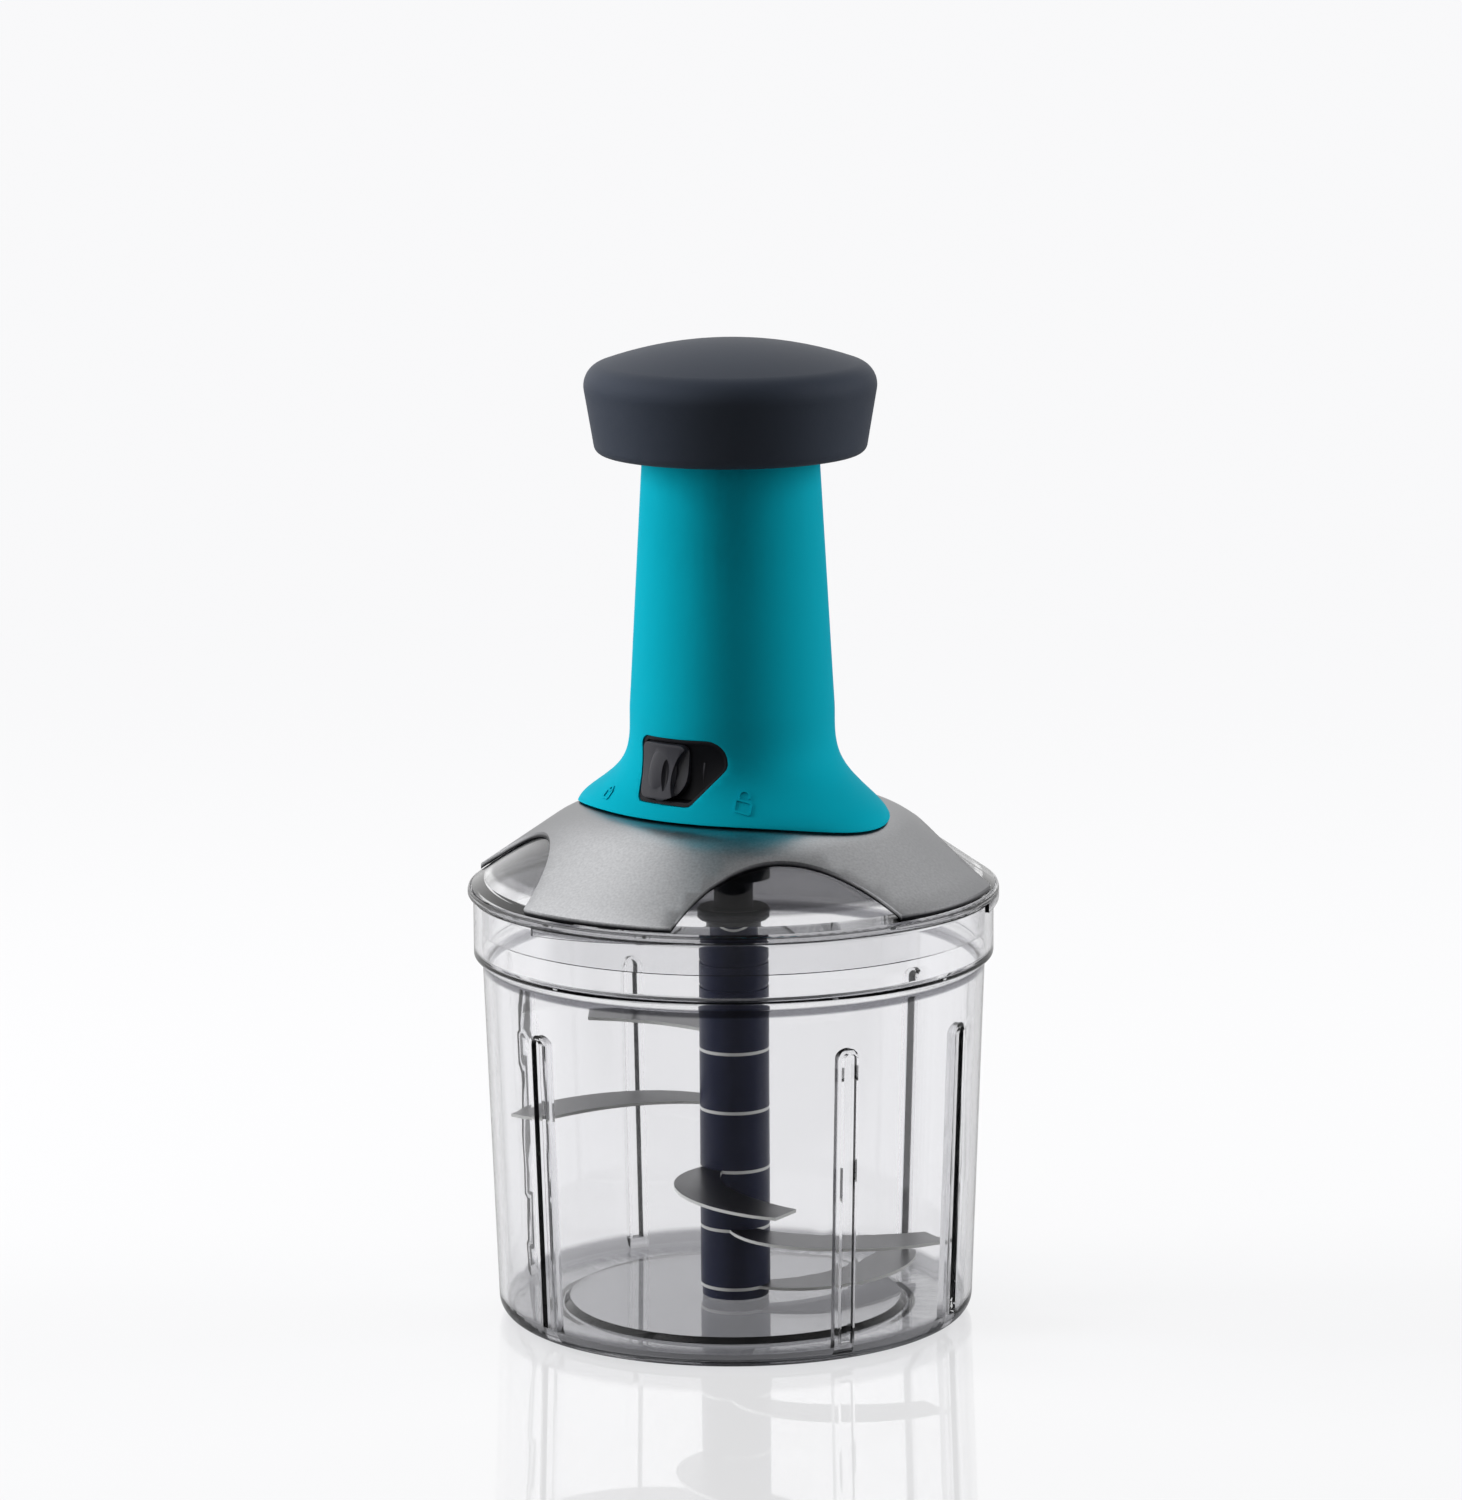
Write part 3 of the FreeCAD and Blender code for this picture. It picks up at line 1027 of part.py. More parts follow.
write("lid_cover", make_lid_cover())
write("lid_body", make_lid_body())
write("column", make_column())
write("guide_bush", make_guide_bush())
write("column_screws", make_column_screws())
write("hub_housing", make_hub_housing())
write("hub_bush", make_hub_bush())
write("hub_cap", make_hub_cap())
write("hub_screws", make_hub_screws())

write("output_coupler", make_output_coupler())
write("clutch_lower", make_clutch_lower())
write("clutch_upper", make_clutch_upper())
write("clutch_spring", make_clutch_spring())
write("drive_rod", make_drive_rod())

write("cap_cover", make_cap_cover())
write("cap_core", make_cap_core())
write("cap_plate", make_cap_plate())
write("cap_screws", make_cap_screws())
write("plunger_sleeve", make_plunger_sleeve())
write("nut_tube", make_nut_tube())
write("drive_nut", make_drive_nut())
write("return_spring", make_return_spring())

write("lock_ring", make_lock_ring())
write("lock_tray", make_lock_tray())
write("lock_button", make_lock_button())
write("lock_detent_spring", make_detent_spring())
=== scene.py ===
import bpy
import math
from mathutils import Matrix, Vector


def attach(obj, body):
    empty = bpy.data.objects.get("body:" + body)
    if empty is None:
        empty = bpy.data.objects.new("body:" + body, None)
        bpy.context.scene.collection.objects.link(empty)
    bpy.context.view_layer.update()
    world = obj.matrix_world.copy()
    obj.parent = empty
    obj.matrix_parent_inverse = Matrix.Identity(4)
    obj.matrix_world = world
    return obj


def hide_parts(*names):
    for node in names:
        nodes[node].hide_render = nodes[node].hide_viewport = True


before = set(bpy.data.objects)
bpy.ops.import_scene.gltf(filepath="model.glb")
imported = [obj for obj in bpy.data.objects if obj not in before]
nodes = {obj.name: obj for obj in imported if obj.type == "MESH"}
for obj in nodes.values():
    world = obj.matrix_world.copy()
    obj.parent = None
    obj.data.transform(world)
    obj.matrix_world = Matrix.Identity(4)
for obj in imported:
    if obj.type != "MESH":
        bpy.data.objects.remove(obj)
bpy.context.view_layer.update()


# ---- camera -----------------------------------------------------------------
# A long portrait lens, a little above the lid, that looks down on the chopper
# by ten degrees.  The chopper leans a third of a degree to the left in it.
CAMERA_PLACE = (0.0, -1.6155, 0.4447)
CAMERA_PITCH = math.radians(10.5)
CAMERA_ROLL = math.radians(-0.35)
LENS_LENGTH = 156.0             # millimetres
SENSOR_WIDTH = 36.0
SIDE_SHIFT = -0.001
NEAREST, FARTHEST = 0.05, 60.0
bpy.ops.object.camera_add(location=CAMERA_PLACE)
camera = bpy.context.object
camera.name = "camera"
tilt = Matrix.Rotation(math.pi / 2 - CAMERA_PITCH, 4, "X")
camera.rotation_euler = (tilt @ Matrix.Rotation(CAMERA_ROLL, 4, "Z")).to_euler()
camera.data.sensor_width = SENSOR_WIDTH
camera.data.lens = LENS_LENGTH
camera.data.shift_x = SIDE_SHIFT
camera.data.clip_start = NEAREST
camera.data.clip_end = FARTHEST
bpy.context.scene.camera = camera
bpy.context.scene.view_settings.view_transform = "Standard"


# ---- studio -----------------------------------------------------------------
# A white room that is dark before the chopper for what is mirrored, so that
# dark plastic stays dark, and white all round for what is seen through clear
# plastic.  A tall softbox stands on each side, a wide one overhead.
FILL_LEVEL = 0.14               # soft light from all round on what is matt
BACKDROP = 0.96                 # what the camera sees behind all
ROOM_BACK = 1.0                 # what gloss and clear plastic see behind the chopper
ROOM_FRONT = 0.06               # and before it
ROOM_TOP = 0.22
ROOM_SHADE = 0.50               # share of the back wall's light on its right
ROOM_LEFT = 1.0
ROOM_RIGHT = 0.50
# Each wall begins and is full at these parts of a direction's unit length.
BACK_WALL = (-0.15, 0.75)
BACK_WALL_SHADE = (0.15, 0.60)
LEFT_WALL = (-0.10, -0.45)
RIGHT_WALL = (0.50, 0.85)
CEILING = (0.45, 0.95)
world = bpy.data.worlds.new("studio")
bpy.context.scene.world = world
world.use_nodes = True
tree = world.node_tree


def feed(tree, socket, value):
    """Links a socket to another one, or gives it a plain value."""
    if isinstance(value, bpy.types.NodeSocket):
        tree.links.new(value, socket)
    else:
        socket.default_value = value


def add_math(tree, operation, first, second=0.0):
    """A Math node between two sockets or plain numbers."""
    node = tree.nodes.new("ShaderNodeMath")
    node.operation = operation
    feed(tree, node.inputs[0], first)
    feed(tree, node.inputs[1], second)
    return node.outputs[0]


def add_range(tree, value, low, high, start, end, way="SMOOTHSTEP"):
    """A Map Range node that takes low..high to start..end."""
    node = tree.nodes.new("ShaderNodeMapRange")
    node.interpolation_type = way
    for name, number in (("Value", value), ("From Min", low), ("From Max", high),
                         ("To Min", start), ("To Max", end)):
        feed(tree, node.inputs[name], number)
    return node.outputs["Result"]


def split_axes(tree, vector):
    """The X, Y and Z numbers of a vector, by name."""
    node = tree.nodes.new("ShaderNodeSeparateXYZ")
    tree.links.new(vector, node.inputs["Vector"])
    return node.outputs


path = tree.nodes.new("ShaderNodeLightPath")
way = tree.nodes.new("ShaderNodeTexCoord")
toward = split_axes(tree, way.outputs["Generated"])
mirrored = add_math(tree, "MINIMUM", path.outputs["Glossy Depth"], 1.0)
depth = tree.nodes.new("ShaderNodeMix")     # clear sight has the back wall on both sides
tree.links.new(mirrored, depth.inputs["Factor"])
tree.links.new(add_math(tree, "ABSOLUTE", toward["Y"]), depth.inputs["A"])
tree.links.new(toward["Y"], depth.inputs["B"])
walls = add_range(tree, depth.outputs["Result"], *BACK_WALL, ROOM_FRONT, ROOM_BACK)
dimmed = add_range(tree, toward["X"], *BACK_WALL_SHADE, 1.0, ROOM_SHADE)
room = add_math(tree, "MULTIPLY", walls, dimmed)
for axis, wall, light in (("Z", CEILING, ROOM_TOP), ("X", LEFT_WALL, ROOM_LEFT),
                          ("X", RIGHT_WALL, ROOM_RIGHT)):
    room = add_math(tree, "MAXIMUM", room, add_range(tree, toward[axis], *wall, 0.0, light))
glossy_or_clear = add_math(tree, "MAXIMUM", path.outputs["Is Glossy Ray"],
                           path.outputs["Is Transmission Ray"])
level = tree.nodes.new("ShaderNodeMix")
level.inputs["A"].default_value = FILL_LEVEL
tree.links.new(glossy_or_clear, level.inputs["Factor"])
tree.links.new(room, level.inputs["B"])
seen = add_math(tree, "MULTIPLY", path.outputs["Is Camera Ray"], BACKDROP)
strength = add_math(tree, "MAXIMUM", seen, level.outputs["Result"])
backdrop = tree.nodes["Background"]
backdrop.inputs["Color"].default_value = (1.0, 1.0, 1.0, 1)
tree.links.new(strength, backdrop.inputs["Strength"])

LIGHT_AIM = Vector((0.0, 0.0, 0.13))
SOFTBOXES = (
    # name, place, width, height, watts
    ("softbox_left", (-1.35, 0.12, 0.45), 0.6, 1.3, 26.0),
    ("softbox_right", (1.35, 0.16, 0.45), 0.6, 1.3, 17.0),
    ("softbox_top", (-0.10, -0.25, 1.60), 0.9, 0.7, 6.0),
)
for name, place, width, height, watts in SOFTBOXES:
    bpy.ops.object.light_add(type="AREA", location=place)
    lamp = bpy.context.object
    lamp.name = name
    lamp.rotation_euler = (LIGHT_AIM - Vector(place)).to_track_quat("-Z", "Y").to_euler()
    lamp.data.shape = "RECTANGLE"
    lamp.data.size = width
    lamp.data.size_y = height
    lamp.data.energy = watts
    lamp.visible_glossy = False         # gloss mirrors the room alone
    lamp.visible_transmission = False


# ---- floor ------------------------------------------------------------------
# A large sheet of pale gloss acrylic, which mirrors the foot of the bowl and
# takes its soft shadow.  It fades into the white room with distance.
FLOOR_SIZE = 50.0
FLOOR_COLOUR = (0.36, 0.36, 0.365, 1)
FLOOR_ROUGHNESS = 0.02
FLOOR_IOR = 2.0                 # high, so that it mirrors like a polished sheet
FLOOR_GLOW = (0.99, 0.99, 1.0, 1)
FADE = (0.10, 1.10)             # from the bowl's axis, where it begins and is full
FRONT_FADE = (-0.12, -0.45)     # along Y, the same before the bowl
NEAR_SHARE = 0.20               # share of its own light near the bowl
LIT_TONE = 0.51                 # what the floor shows by lamps and mirroring alone
FLOOR_TONE = 0.955              # and with its own light
FRONT_SHADE = (0.05, 0.05, 0.055, 1)    # what gloss sees of the floor before the bowl
FRONT_EDGE = (0.02, -0.10)      # along Y, where that shade begins and is full
bpy.ops.mesh.primitive_plane_add(size=FLOOR_SIZE)
floor = bpy.context.object
floor.name = "floor"
acrylic = bpy.data.materials.new("floor_acrylic")
acrylic.use_nodes = True
tree = acrylic.node_tree
shader = tree.nodes["Principled BSDF"]
shader.inputs["Base Color"].default_value = FLOOR_COLOUR
shader.inputs["Roughness"].default_value = FLOOR_ROUGHNESS
shader.inputs["IOR"].default_value = FLOOR_IOR
glow = tree.nodes.new("ShaderNodeEmission")
glow.inputs["Color"].default_value = FLOOR_GLOW
path = tree.nodes.new("ShaderNodeLightPath")
place = tree.nodes.new("ShaderNodeTexCoord")
length = tree.nodes.new("ShaderNodeVectorMath")
length.operation = "LENGTH"
tree.links.new(place.outputs["Object"], length.inputs[0])
forward = split_axes(tree, place.outputs["Object"])["Y"]
fade = add_math(tree, "MAXIMUM",
                add_range(tree, length.outputs["Value"], *FADE, NEAR_SHARE, 1.0),
                add_range(tree, forward, *FRONT_FADE, 0.0, 1.0))
lack = add_math(tree, "DIVIDE", FLOOR_TONE - LIT_TONE, fade)
tree.links.new(add_math(tree, "ADD", lack, LIT_TONE), glow.inputs["Strength"])


def mix_shaders(tree, factor, first, second):
    """One shader that goes from the first to the second with the factor."""
    node = tree.nodes.new("ShaderNodeMixShader")
    for socket, value in zip(node.inputs, (factor, first, second)):
        tree.links.new(value, socket)
    return node.outputs["Shader"]


seen = add_math(tree, "MAXIMUM", path.outputs["Is Camera Ray"],
                path.outputs["Is Transmission Ray"])
lit = mix_shaders(tree, add_math(tree, "MULTIPLY", seen, fade),
                  shader.outputs["BSDF"], glow.outputs["Emission"])
shade = tree.nodes.new("ShaderNodeEmission")
shade.inputs["Color"].default_value = FRONT_SHADE
before = add_range(tree, forward, *FRONT_EDGE, 0.0, 1.0)
mirrored = add_math(tree, "MINIMUM", path.outputs["Glossy Depth"], 1.0)
lit = mix_shaders(tree, add_math(tree, "MULTIPLY", mirrored, before),
                  lit, shade.outputs["Emission"])
tree.links.new(lit, tree.nodes["Material Output"].inputs["Surface"])
floor.data.materials.append(acrylic)


# ---- bowl -------------------------------------------------------------------
# One clear, hard moulding with an upper band, six hollow ribs and a raised
# disc in its floor.  Faint waves and wiped smears lie on its surface.
GRAIN_DETAIL, DRIFT_DETAIL = 3.0, 4.0
GRAIN_HEIGHT = 0.0001
CLEAR_IOR = 1.53
LAMP_TINT = (0.93, 0.94, 0.95, 1)       # what a clear wall lets through of a lamp's light


def new_group(name, inputs, outputs):
    """A node group with numbers or vectors as its inputs, and the sockets inside it."""
    tree = bpy.data.node_groups.new(name, "ShaderNodeTree")
    for title, value in inputs.items():
        kind = "NodeSocketFloat" if isinstance(value, float) else "NodeSocketVector"
        socket = tree.interface.new_socket(title, in_out="INPUT", socket_type=kind)
        socket.default_value = value
    for title in outputs:
        kind = "NodeSocketVector" if title == "Normal" else "NodeSocketFloat"
        tree.interface.new_socket(title, in_out="OUTPUT", socket_type=kind)
    given = tree.nodes.new("NodeGroupInput").outputs
    return tree, given, tree.nodes.new("NodeGroupOutput").inputs


def place_group(tree, group, values):
    """Places a group in a material with its own values."""
    node = tree.nodes.new("ShaderNodeGroup")
    node.node_tree = group
    for name, value in values.items():
        node.inputs[name].default_value = value
    return node.outputs


def add_noise(tree, vector, scale, detail):
    """A soft noise along a vector, from 0 to 1."""
    node = tree.nodes.new("ShaderNodeTexNoise")
    for name, value in (("Vector", vector), ("Scale", scale), ("Detail", detail)):
        feed(tree, node.inputs[name], value)
    return node.outputs["Fac"]


def add_bump(tree, pattern, strength, height):
    """A normal with a pattern's relief."""
    node = tree.nodes.new("ShaderNodeBump")
    for name, value in (("Height", pattern), ("Strength", strength), ("Distance", height)):
        feed(tree, node.inputs[name], value)
    return node.outputs["Normal"]


def make_grain_group():
    """Moulding texture: fine grain in height, and a slow drift in roughness and tone."""
    inputs = {"Grain": 900.0, "Drift": 25.0, "Base Roughness": 0.4, "Spread": 0.08, "Depth": 0.1}
    tree, given, result = new_group("moulded_grain", inputs, ("Roughness", "Tone", "Normal"))
    place = tree.nodes.new("ShaderNodeTexCoord").outputs["Object"]
    fine = add_noise(tree, place, given["Grain"], GRAIN_DETAIL)
    slow = add_noise(tree, place, given["Drift"], DRIFT_DETAIL)
    swing = add_math(tree, "MULTIPLY", add_math(tree, "SUBTRACT", slow, 0.5), given["Spread"])
    rough = add_math(tree, "ADD", swing, given["Base Roughness"])
    tree.links.new(rough, result["Roughness"])
    tree.links.new(slow, result["Tone"])
    tree.links.new(add_bump(tree, fine, given["Depth"], GRAIN_HEIGHT), result["Normal"])
    return tree


def make_band_group():
    """A mask that is full from Low to High and has gone at Start and End."""
    inputs = {"Start": 0.0, "Low": 0.0, "High": 0.0, "End": 0.0}
    tree, given, result = new_group("smoke_and_shade_band", inputs, ("Band",))
    place = tree.nodes.new("ShaderNodeTexCoord").outputs["Object"]
    height = split_axes(tree, place)["Z"]
    above = add_range(tree, height, given["Start"], given["Low"], 0.0, 1.0)
    below = add_range(tree, height, given["High"], given["End"], 1.0, 0.0)
    tree.links.new(add_math(tree, "MULTIPLY", above, below), result["Band"])
    return tree


moulded_grain = make_grain_group()
smoke_and_shade_band = make_band_group()


def new_material(name):
    """A material with its node tree and Principled shader."""
    material = bpy.data.materials.new(name)
    material.use_nodes = True
    return material, material.node_tree, material.node_tree.nodes["Principled BSDF"]


def mix_colours(tree, factor, first, second, blend="MIX"):
    """A Mix node between two colours, each a socket or three plain numbers."""
    node = tree.nodes.new("ShaderNodeMix")
    node.data_type = "RGBA"
    node.blend_type = blend
    tree.links.new(factor, node.inputs["Factor"])
    for name, value in (("A", first), ("B", second)):
        colour = value if isinstance(value, bpy.types.NodeSocket) else (*value, 1)
        feed(tree, node.inputs[name], colour)
    return node.outputs["Result"]


def set_surface(tree, shader, colour, pattern):
    """Gives a shader its colour and a pattern's roughness and normal."""
    tree.links.new(colour, shader.inputs["Base Color"])
    tree.links.new(pattern["Roughness"], shader.inputs["Roughness"])
    tree.links.new(pattern["Normal"], shader.inputs["Normal"])


def add_grain(tree, shader, dark, light, grain, roughness, spread, depth):
    """Places the moulded grain, with the colour drifting between two near tones."""
    pattern = place_group(tree, moulded_grain, {"Grain": grain, "Base Roughness": roughness,
                                                "Spread": spread, "Depth": depth})
    set_surface(tree, shader, mix_colours(tree, pattern["Tone"], dark, light), pattern)


def plain_plastic(name, dark, light, grain, roughness, spread=0.08, depth=0.1, gloss=0.5):
    """An opaque moulded plastic."""
    material, tree, shader = new_material(name)
    shader.inputs["Specular IOR Level"].default_value = gloss
    add_grain(tree, shader, dark, light, grain, roughness, spread, depth)
    return material


def clear_plastic(name, dark, light, bands):
    """Clear moulded plastic that lets lamps shine through it, darkened in bands of smoke and
    painted shade.
    """
    material, tree, shader = new_material(name)
    add_grain(tree, shader, dark, light, grain=60.0, roughness=0.02, spread=0.03, depth=0.02)
    for low, high, blur, tint in bands:
        band = place_group(tree, smoke_and_shade_band, {"Start": low - blur, "Low": low,
                                              "High": high, "End": high + blur})
        clean = shader.inputs["Base Color"].links[0].from_socket
        tree.links.new(mix_colours(tree, band["Band"], clean, tint, "MULTIPLY"),
                       shader.inputs["Base Color"])
    shader.inputs["Transmission Weight"].default_value = 1.0
    shader.inputs["IOR"].default_value = CLEAR_IOR
    through = tree.nodes.new("ShaderNodeBsdfTransparent")
    through.inputs["Color"].default_value = LAMP_TINT
    path = tree.nodes.new("ShaderNodeLightPath")
    both = mix_shaders(tree, path.outputs["Is Shadow Ray"],
                       shader.outputs["BSDF"], through.outputs["BSDF"])
    tree.links.new(both, tree.nodes["Material Output"].inputs["Surface"])
    return material


def dress(material, *names):
    """Gives CAD nodes one material in place of their stored one."""
    for name in names:
        node = nodes[name]
        node.data.materials.clear()
        node.data.materials.append(material)


# Near its foot the bowl is darkened partly as thick plastic and partly as painted shade of the
# floor under it; the thin dark band under the shoulder is painted shade.
BOWL_SMOKE_AND_SHADE = (
    # low, high, blur, tint
    (-0.001, 0.0045, 0.002, (0.47, 0.47, 0.48)),
    (0.0905, 0.0922, 0.0006, (0.30, 0.30, 0.32)),
)
bowl_plastic = clear_plastic("clear_bowl", (0.945, 0.945, 0.957), (0.968, 0.968, 0.976),
                             BOWL_SMOKE_AND_SHADE)
dress(bowl_plastic, "bowl")


# ---- centre pin -------------------------------------------------------------
# A short steel pin, turned and polished, that is moulded into the bowl's floor
# and stands up inside the blade shaft.
LINE_SCALE, LINE_DETAIL = 300.0, 4.0        # of a brushed line, before it is stretched
LINE_STRENGTH, LINE_HEIGHT = 0.12, 0.00005


def make_metal_group():
    """Metal texture: one noise in tone, roughness and height, drawn out by Stretch."""
    inputs = {"Scale": 300.0, "Detail": 4.0, "Stretch": (1.0, 1.0, 1.0), "Smoothest": 0.1,
              "Roughest": 0.3, "Strength": 0.1, "Height": 0.0001}
    tree, given, result = new_group("metal_grain", inputs, ("Roughness", "Tone", "Normal"))
    scale = tree.nodes.new("ShaderNodeMapping")
    place = tree.nodes.new("ShaderNodeTexCoord").outputs["Object"]
    tree.links.new(place, scale.inputs["Vector"])
    tree.links.new(given["Stretch"], scale.inputs["Scale"])
    noise = add_noise(tree, scale.outputs["Vector"], given["Scale"], given["Detail"])
    rough = add_range(tree, noise, 0.0, 1.0, given["Smoothest"], given["Roughest"], "LINEAR")
    tree.links.new(rough, result["Roughness"])
    tree.links.new(noise, result["Tone"])
    tree.links.new(add_bump(tree, noise, given["Strength"], given["Height"]), result["Normal"])
    return tree


metal_grain = make_metal_group()


def steel(name, dark, light, roughness, spread, stretch):
    """Steel with a fine brushed line; stretch shortens the pattern along each axis."""
    material, tree, shader = new_material(name)
    pattern = place_group(tree, metal_grain, {
        "Scale": LINE_SCALE, "Detail": LINE_DETAIL, "Stretch": stretch,
        "Smoothest": roughness - spread, "Roughest": roughness + spread,
        "Strength": LINE_STRENGTH, "Height": LINE_HEIGHT})
    set_surface(tree, shader, mix_colours(tree, pattern["Tone"], dark, light), pattern)
    shader.inputs["Metallic"].default_value = 1.0
    return material


pin_steel = steel("pin_steel", (0.5, 0.5, 0.51), (0.72, 0.72, 0.73),
                  roughness=0.18, spread=0.06, stretch=(1, 1, 12))
dress(pin_steel, "bowl_pin")


# ---- blade shaft ------------------------------------------------------------
# Navy moulded sleeves threaded on a hexagonal core, one between each two
# blades, with two ring grooves near the top.
navy = plain_plastic("navy_shaft", (0.012, 0.014, 0.030), (0.019, 0.022, 0.047),
                     grain=1400.0, roughness=0.36, gloss=0.25)
dress(navy, "shaft_foot", "spacer_1", "spacer_2", "spacer_3", "spacer_4", "shaft_upper",
      "blade_core")


# ---- blades -----------------------------------------------------------------
# Five stamped steel sickles, ground to an edge on the bulging side, and held
# by a hexagonal hole between the shaft's sleeves.
FLAT_FACE, CUT_FACE = 0.95, 0.75        # upright part of a face's normal
# The pale edge colour is partly a ground finish and partly a painted highlight.
CUT_EDGE_AND_HIGHLIGHT = (0.50, 0.50, 0.48)


def matt_edge_and_highlight(material):
    """Makes the upright faces of a stamping pale and matt, partly as a cut edge is and partly as
    a painted highlight.
    """
    tree = material.node_tree
    shader = tree.nodes["Principled BSDF"]
    place = tree.nodes.new("ShaderNodeTexCoord")
    flat = add_math(tree, "ABSOLUTE", split_axes(tree, place.outputs["Normal"])["Z"])
    cut = add_range(tree, flat, FLAT_FACE, CUT_FACE, 0.0, 1.0)
    sheet = shader.inputs["Base Color"].links[0].from_socket
    tree.links.new(mix_colours(tree, cut, sheet, CUT_EDGE_AND_HIGHLIGHT), shader.inputs["Base Color"])
    tree.links.new(add_math(tree, "SUBTRACT", 1.0, cut), shader.inputs["Metallic"])


blade_steel = steel("blade_steel", (0.13, 0.13, 0.135), (0.19, 0.19, 0.195),
                    roughness=0.32, spread=0.08, stretch=(1, 14, 1))
matt_edge_and_highlight(blade_steel)
dress(blade_steel, "blade_1", "blade_2", "blade_3", "blade_4", "blade_5")


# ---- inner lid --------------------------------------------------------------
# The clear half of the lid: a skirt that drops into the bowl, a rim with three
# stepped tabs, and a dome that shows in the cover's windows.
# Both bands are painted shade: the grey of the rim seen edge-on, and the dark inside of the lid
# that the cover's windows show.
LID_PAINTED_SHADE = (
    # low, high, blur, tint
    (0.1085, 0.1112, 0.0008, (0.50, 0.50, 0.51)),
    (0.1155, 0.1400, 0.0008, (0.20, 0.20, 0.21)),
)
lid_plastic = clear_plastic("clear_lid", (0.93, 0.93, 0.935), (0.955, 0.955, 0.96), LID_PAINTED_SHADE)
dress(lid_plastic, "lid_body")


# ---- lid cover --------------------------------------------------------------
# A thin dome sprayed with satin silver paint, with a fine metal flake in it.
# Its underside and the edges of its windows are near-black, painted shade at the edges.
PAINT_DARK, PAINT_LIGHT = (0.48, 0.485, 0.50), (0.80, 0.805, 0.82)
# Painted shade: the paint's tone is darkened where the dome is seen aslant.
ASLANT_SHADE = (0.30, 0.30, 0.31)         # share of the tone left where it is seen aslant
SLANT = (0.35, 0.95)                    # where the paint begins to darken and is darkest
FLAKE = {"Scale": 1500.0, "Detail": 2.0, "Smoothest": 0.28, "Roughest": 0.40,
         "Strength": 0.15, "Height": 0.0001}
UNDER_DARK_EDGE_SHADE = (0.035, 0.036, 0.040)
UNDER_DARK_FROM = (0.05, -0.15)               # upright part of the normal where the near-black begins and is full
COVER_EDGE = 0.00035
WELD_REACH = 0.000002
SHARP_ANGLE = math.radians(40)


def silver_paint():
    """Satin metallic paint with painted shade where it is seen aslant, and near-black on faces
    turned sideways or down.
    """
    material, tree, shader = new_material("silver_paint")
    flake = place_group(tree, metal_grain, FLAKE)
    edge = tree.nodes.new("ShaderNodeLayerWeight")
    edge.inputs["Blend"].default_value = 0.5
    place = tree.nodes.new("ShaderNodeTexCoord")
    tone = mix_colours(tree, flake["Tone"], PAINT_DARK, PAINT_LIGHT)
    aslant = add_range(tree, edge.outputs["Facing"], *SLANT, 0.0, 1.0)
    tone = mix_colours(tree, aslant, tone, ASLANT_SHADE, "MULTIPLY")
    upright = split_axes(tree, place.outputs["Normal"])["Z"]
    tone = mix_colours(tree, add_range(tree, upright, *UNDER_DARK_FROM, 0.0, 1.0), tone, UNDER_DARK_EDGE_SHADE)
    set_surface(tree, shader, tone, flake)
    shader.inputs["Metallic"].default_value = 1.0
    return material


def soften_edges(name, width):
    """Rounds the sharp edges of a CAD node a little."""
    weld = nodes[name].modifiers.new("weld", "WELD")
    weld.merge_threshold = WELD_REACH
    bevel = nodes[name].modifiers.new("soften", "BEVEL")
    bevel.width = width
    bevel.segments = 2
    bevel.limit_method = "ANGLE"
    bevel.angle_limit = SHARP_ANGLE


dress(silver_paint(), "lid_cover")
soften_edges("lid_cover", COVER_EDGE)


# ---- column -----------------------------------------------------------------
# The teal grip: a waisted moulding with an even satin skin, oval at its foot,
# which four screws hold from under the lid.
COLUMN_EDGE = 0.0003
teal = plain_plastic("teal_column", (0.002, 0.355, 0.465), (0.002, 0.405, 0.53),
                     grain=1600.0, roughness=0.55, spread=0.05, depth=0.06, gloss=0.03)
dress(teal, "column")
soften_edges("column", COLUMN_EDGE)


# ---- lock -------------------------------------------------------------------
# A near-black slide in a tray of the same plastic.  Its face has a raised lens
# with a finger groove, and an arched step down on the right.
TRAY_EDGE = 0.00018
black = plain_plastic("black_plastic", (0.014, 0.014, 0.018), (0.024, 0.024, 0.030),
                      grain=1500.0, roughness=0.40, gloss=0.35)
dress(black, "lock_ring", "hub_housing", "hub_cap", "output_coupler", "cap_plate", "cap_core")
# The tray is the lock's black made darker: painted shade in the recess around the slide.
tray_shade_black = plain_plastic("tray_shade_black", (0.005, 0.005, 0.007), (0.009, 0.009, 0.012),
                           grain=1500.0, roughness=0.42, gloss=0.25)
dress(tray_shade_black, "lock_tray")
soften_edges("lock_tray", TRAY_EDGE)

LOCK_TURN = math.radians(-30.5)         # about the axis, from the front
SKIN_AXIS = (0.0010, 0.0020)            # axis that the slide's face is turned about
SKIN_SIDES = 240
SKIN = (
    # height, radius
    (0.1360, 0.0326), (0.1380, 0.0320), (0.1400, 0.0314), (0.1420, 0.0307), (0.1440, 0.0301),
    (0.1460, 0.0297), (0.1480, 0.02945), (0.1500, 0.0293), (0.1520, 0.0292),
)
SLIDE_BACK_R = 0.0251
BORE_LENGTH, BORE_HEIGHT = 0.05, 0.144
SLIDE_CORNERS = (
    # across, height, rounding
    (-0.0102, 0.1373, 0.0018), (0.0026, 0.1373, 0.0058),
    (0.0026, 0.15075, 0.0022), (-0.0114, 0.15075, 0.0020),
)
BLOCK_SIDE, BLOCK_DEPTH = 0.02, 0.012   # of the block before its corners are placed
BLOCK_FRONT = -0.026                    # its middle, out from the axis
TOUCH = 1e-5                            # places nearer than this are the same
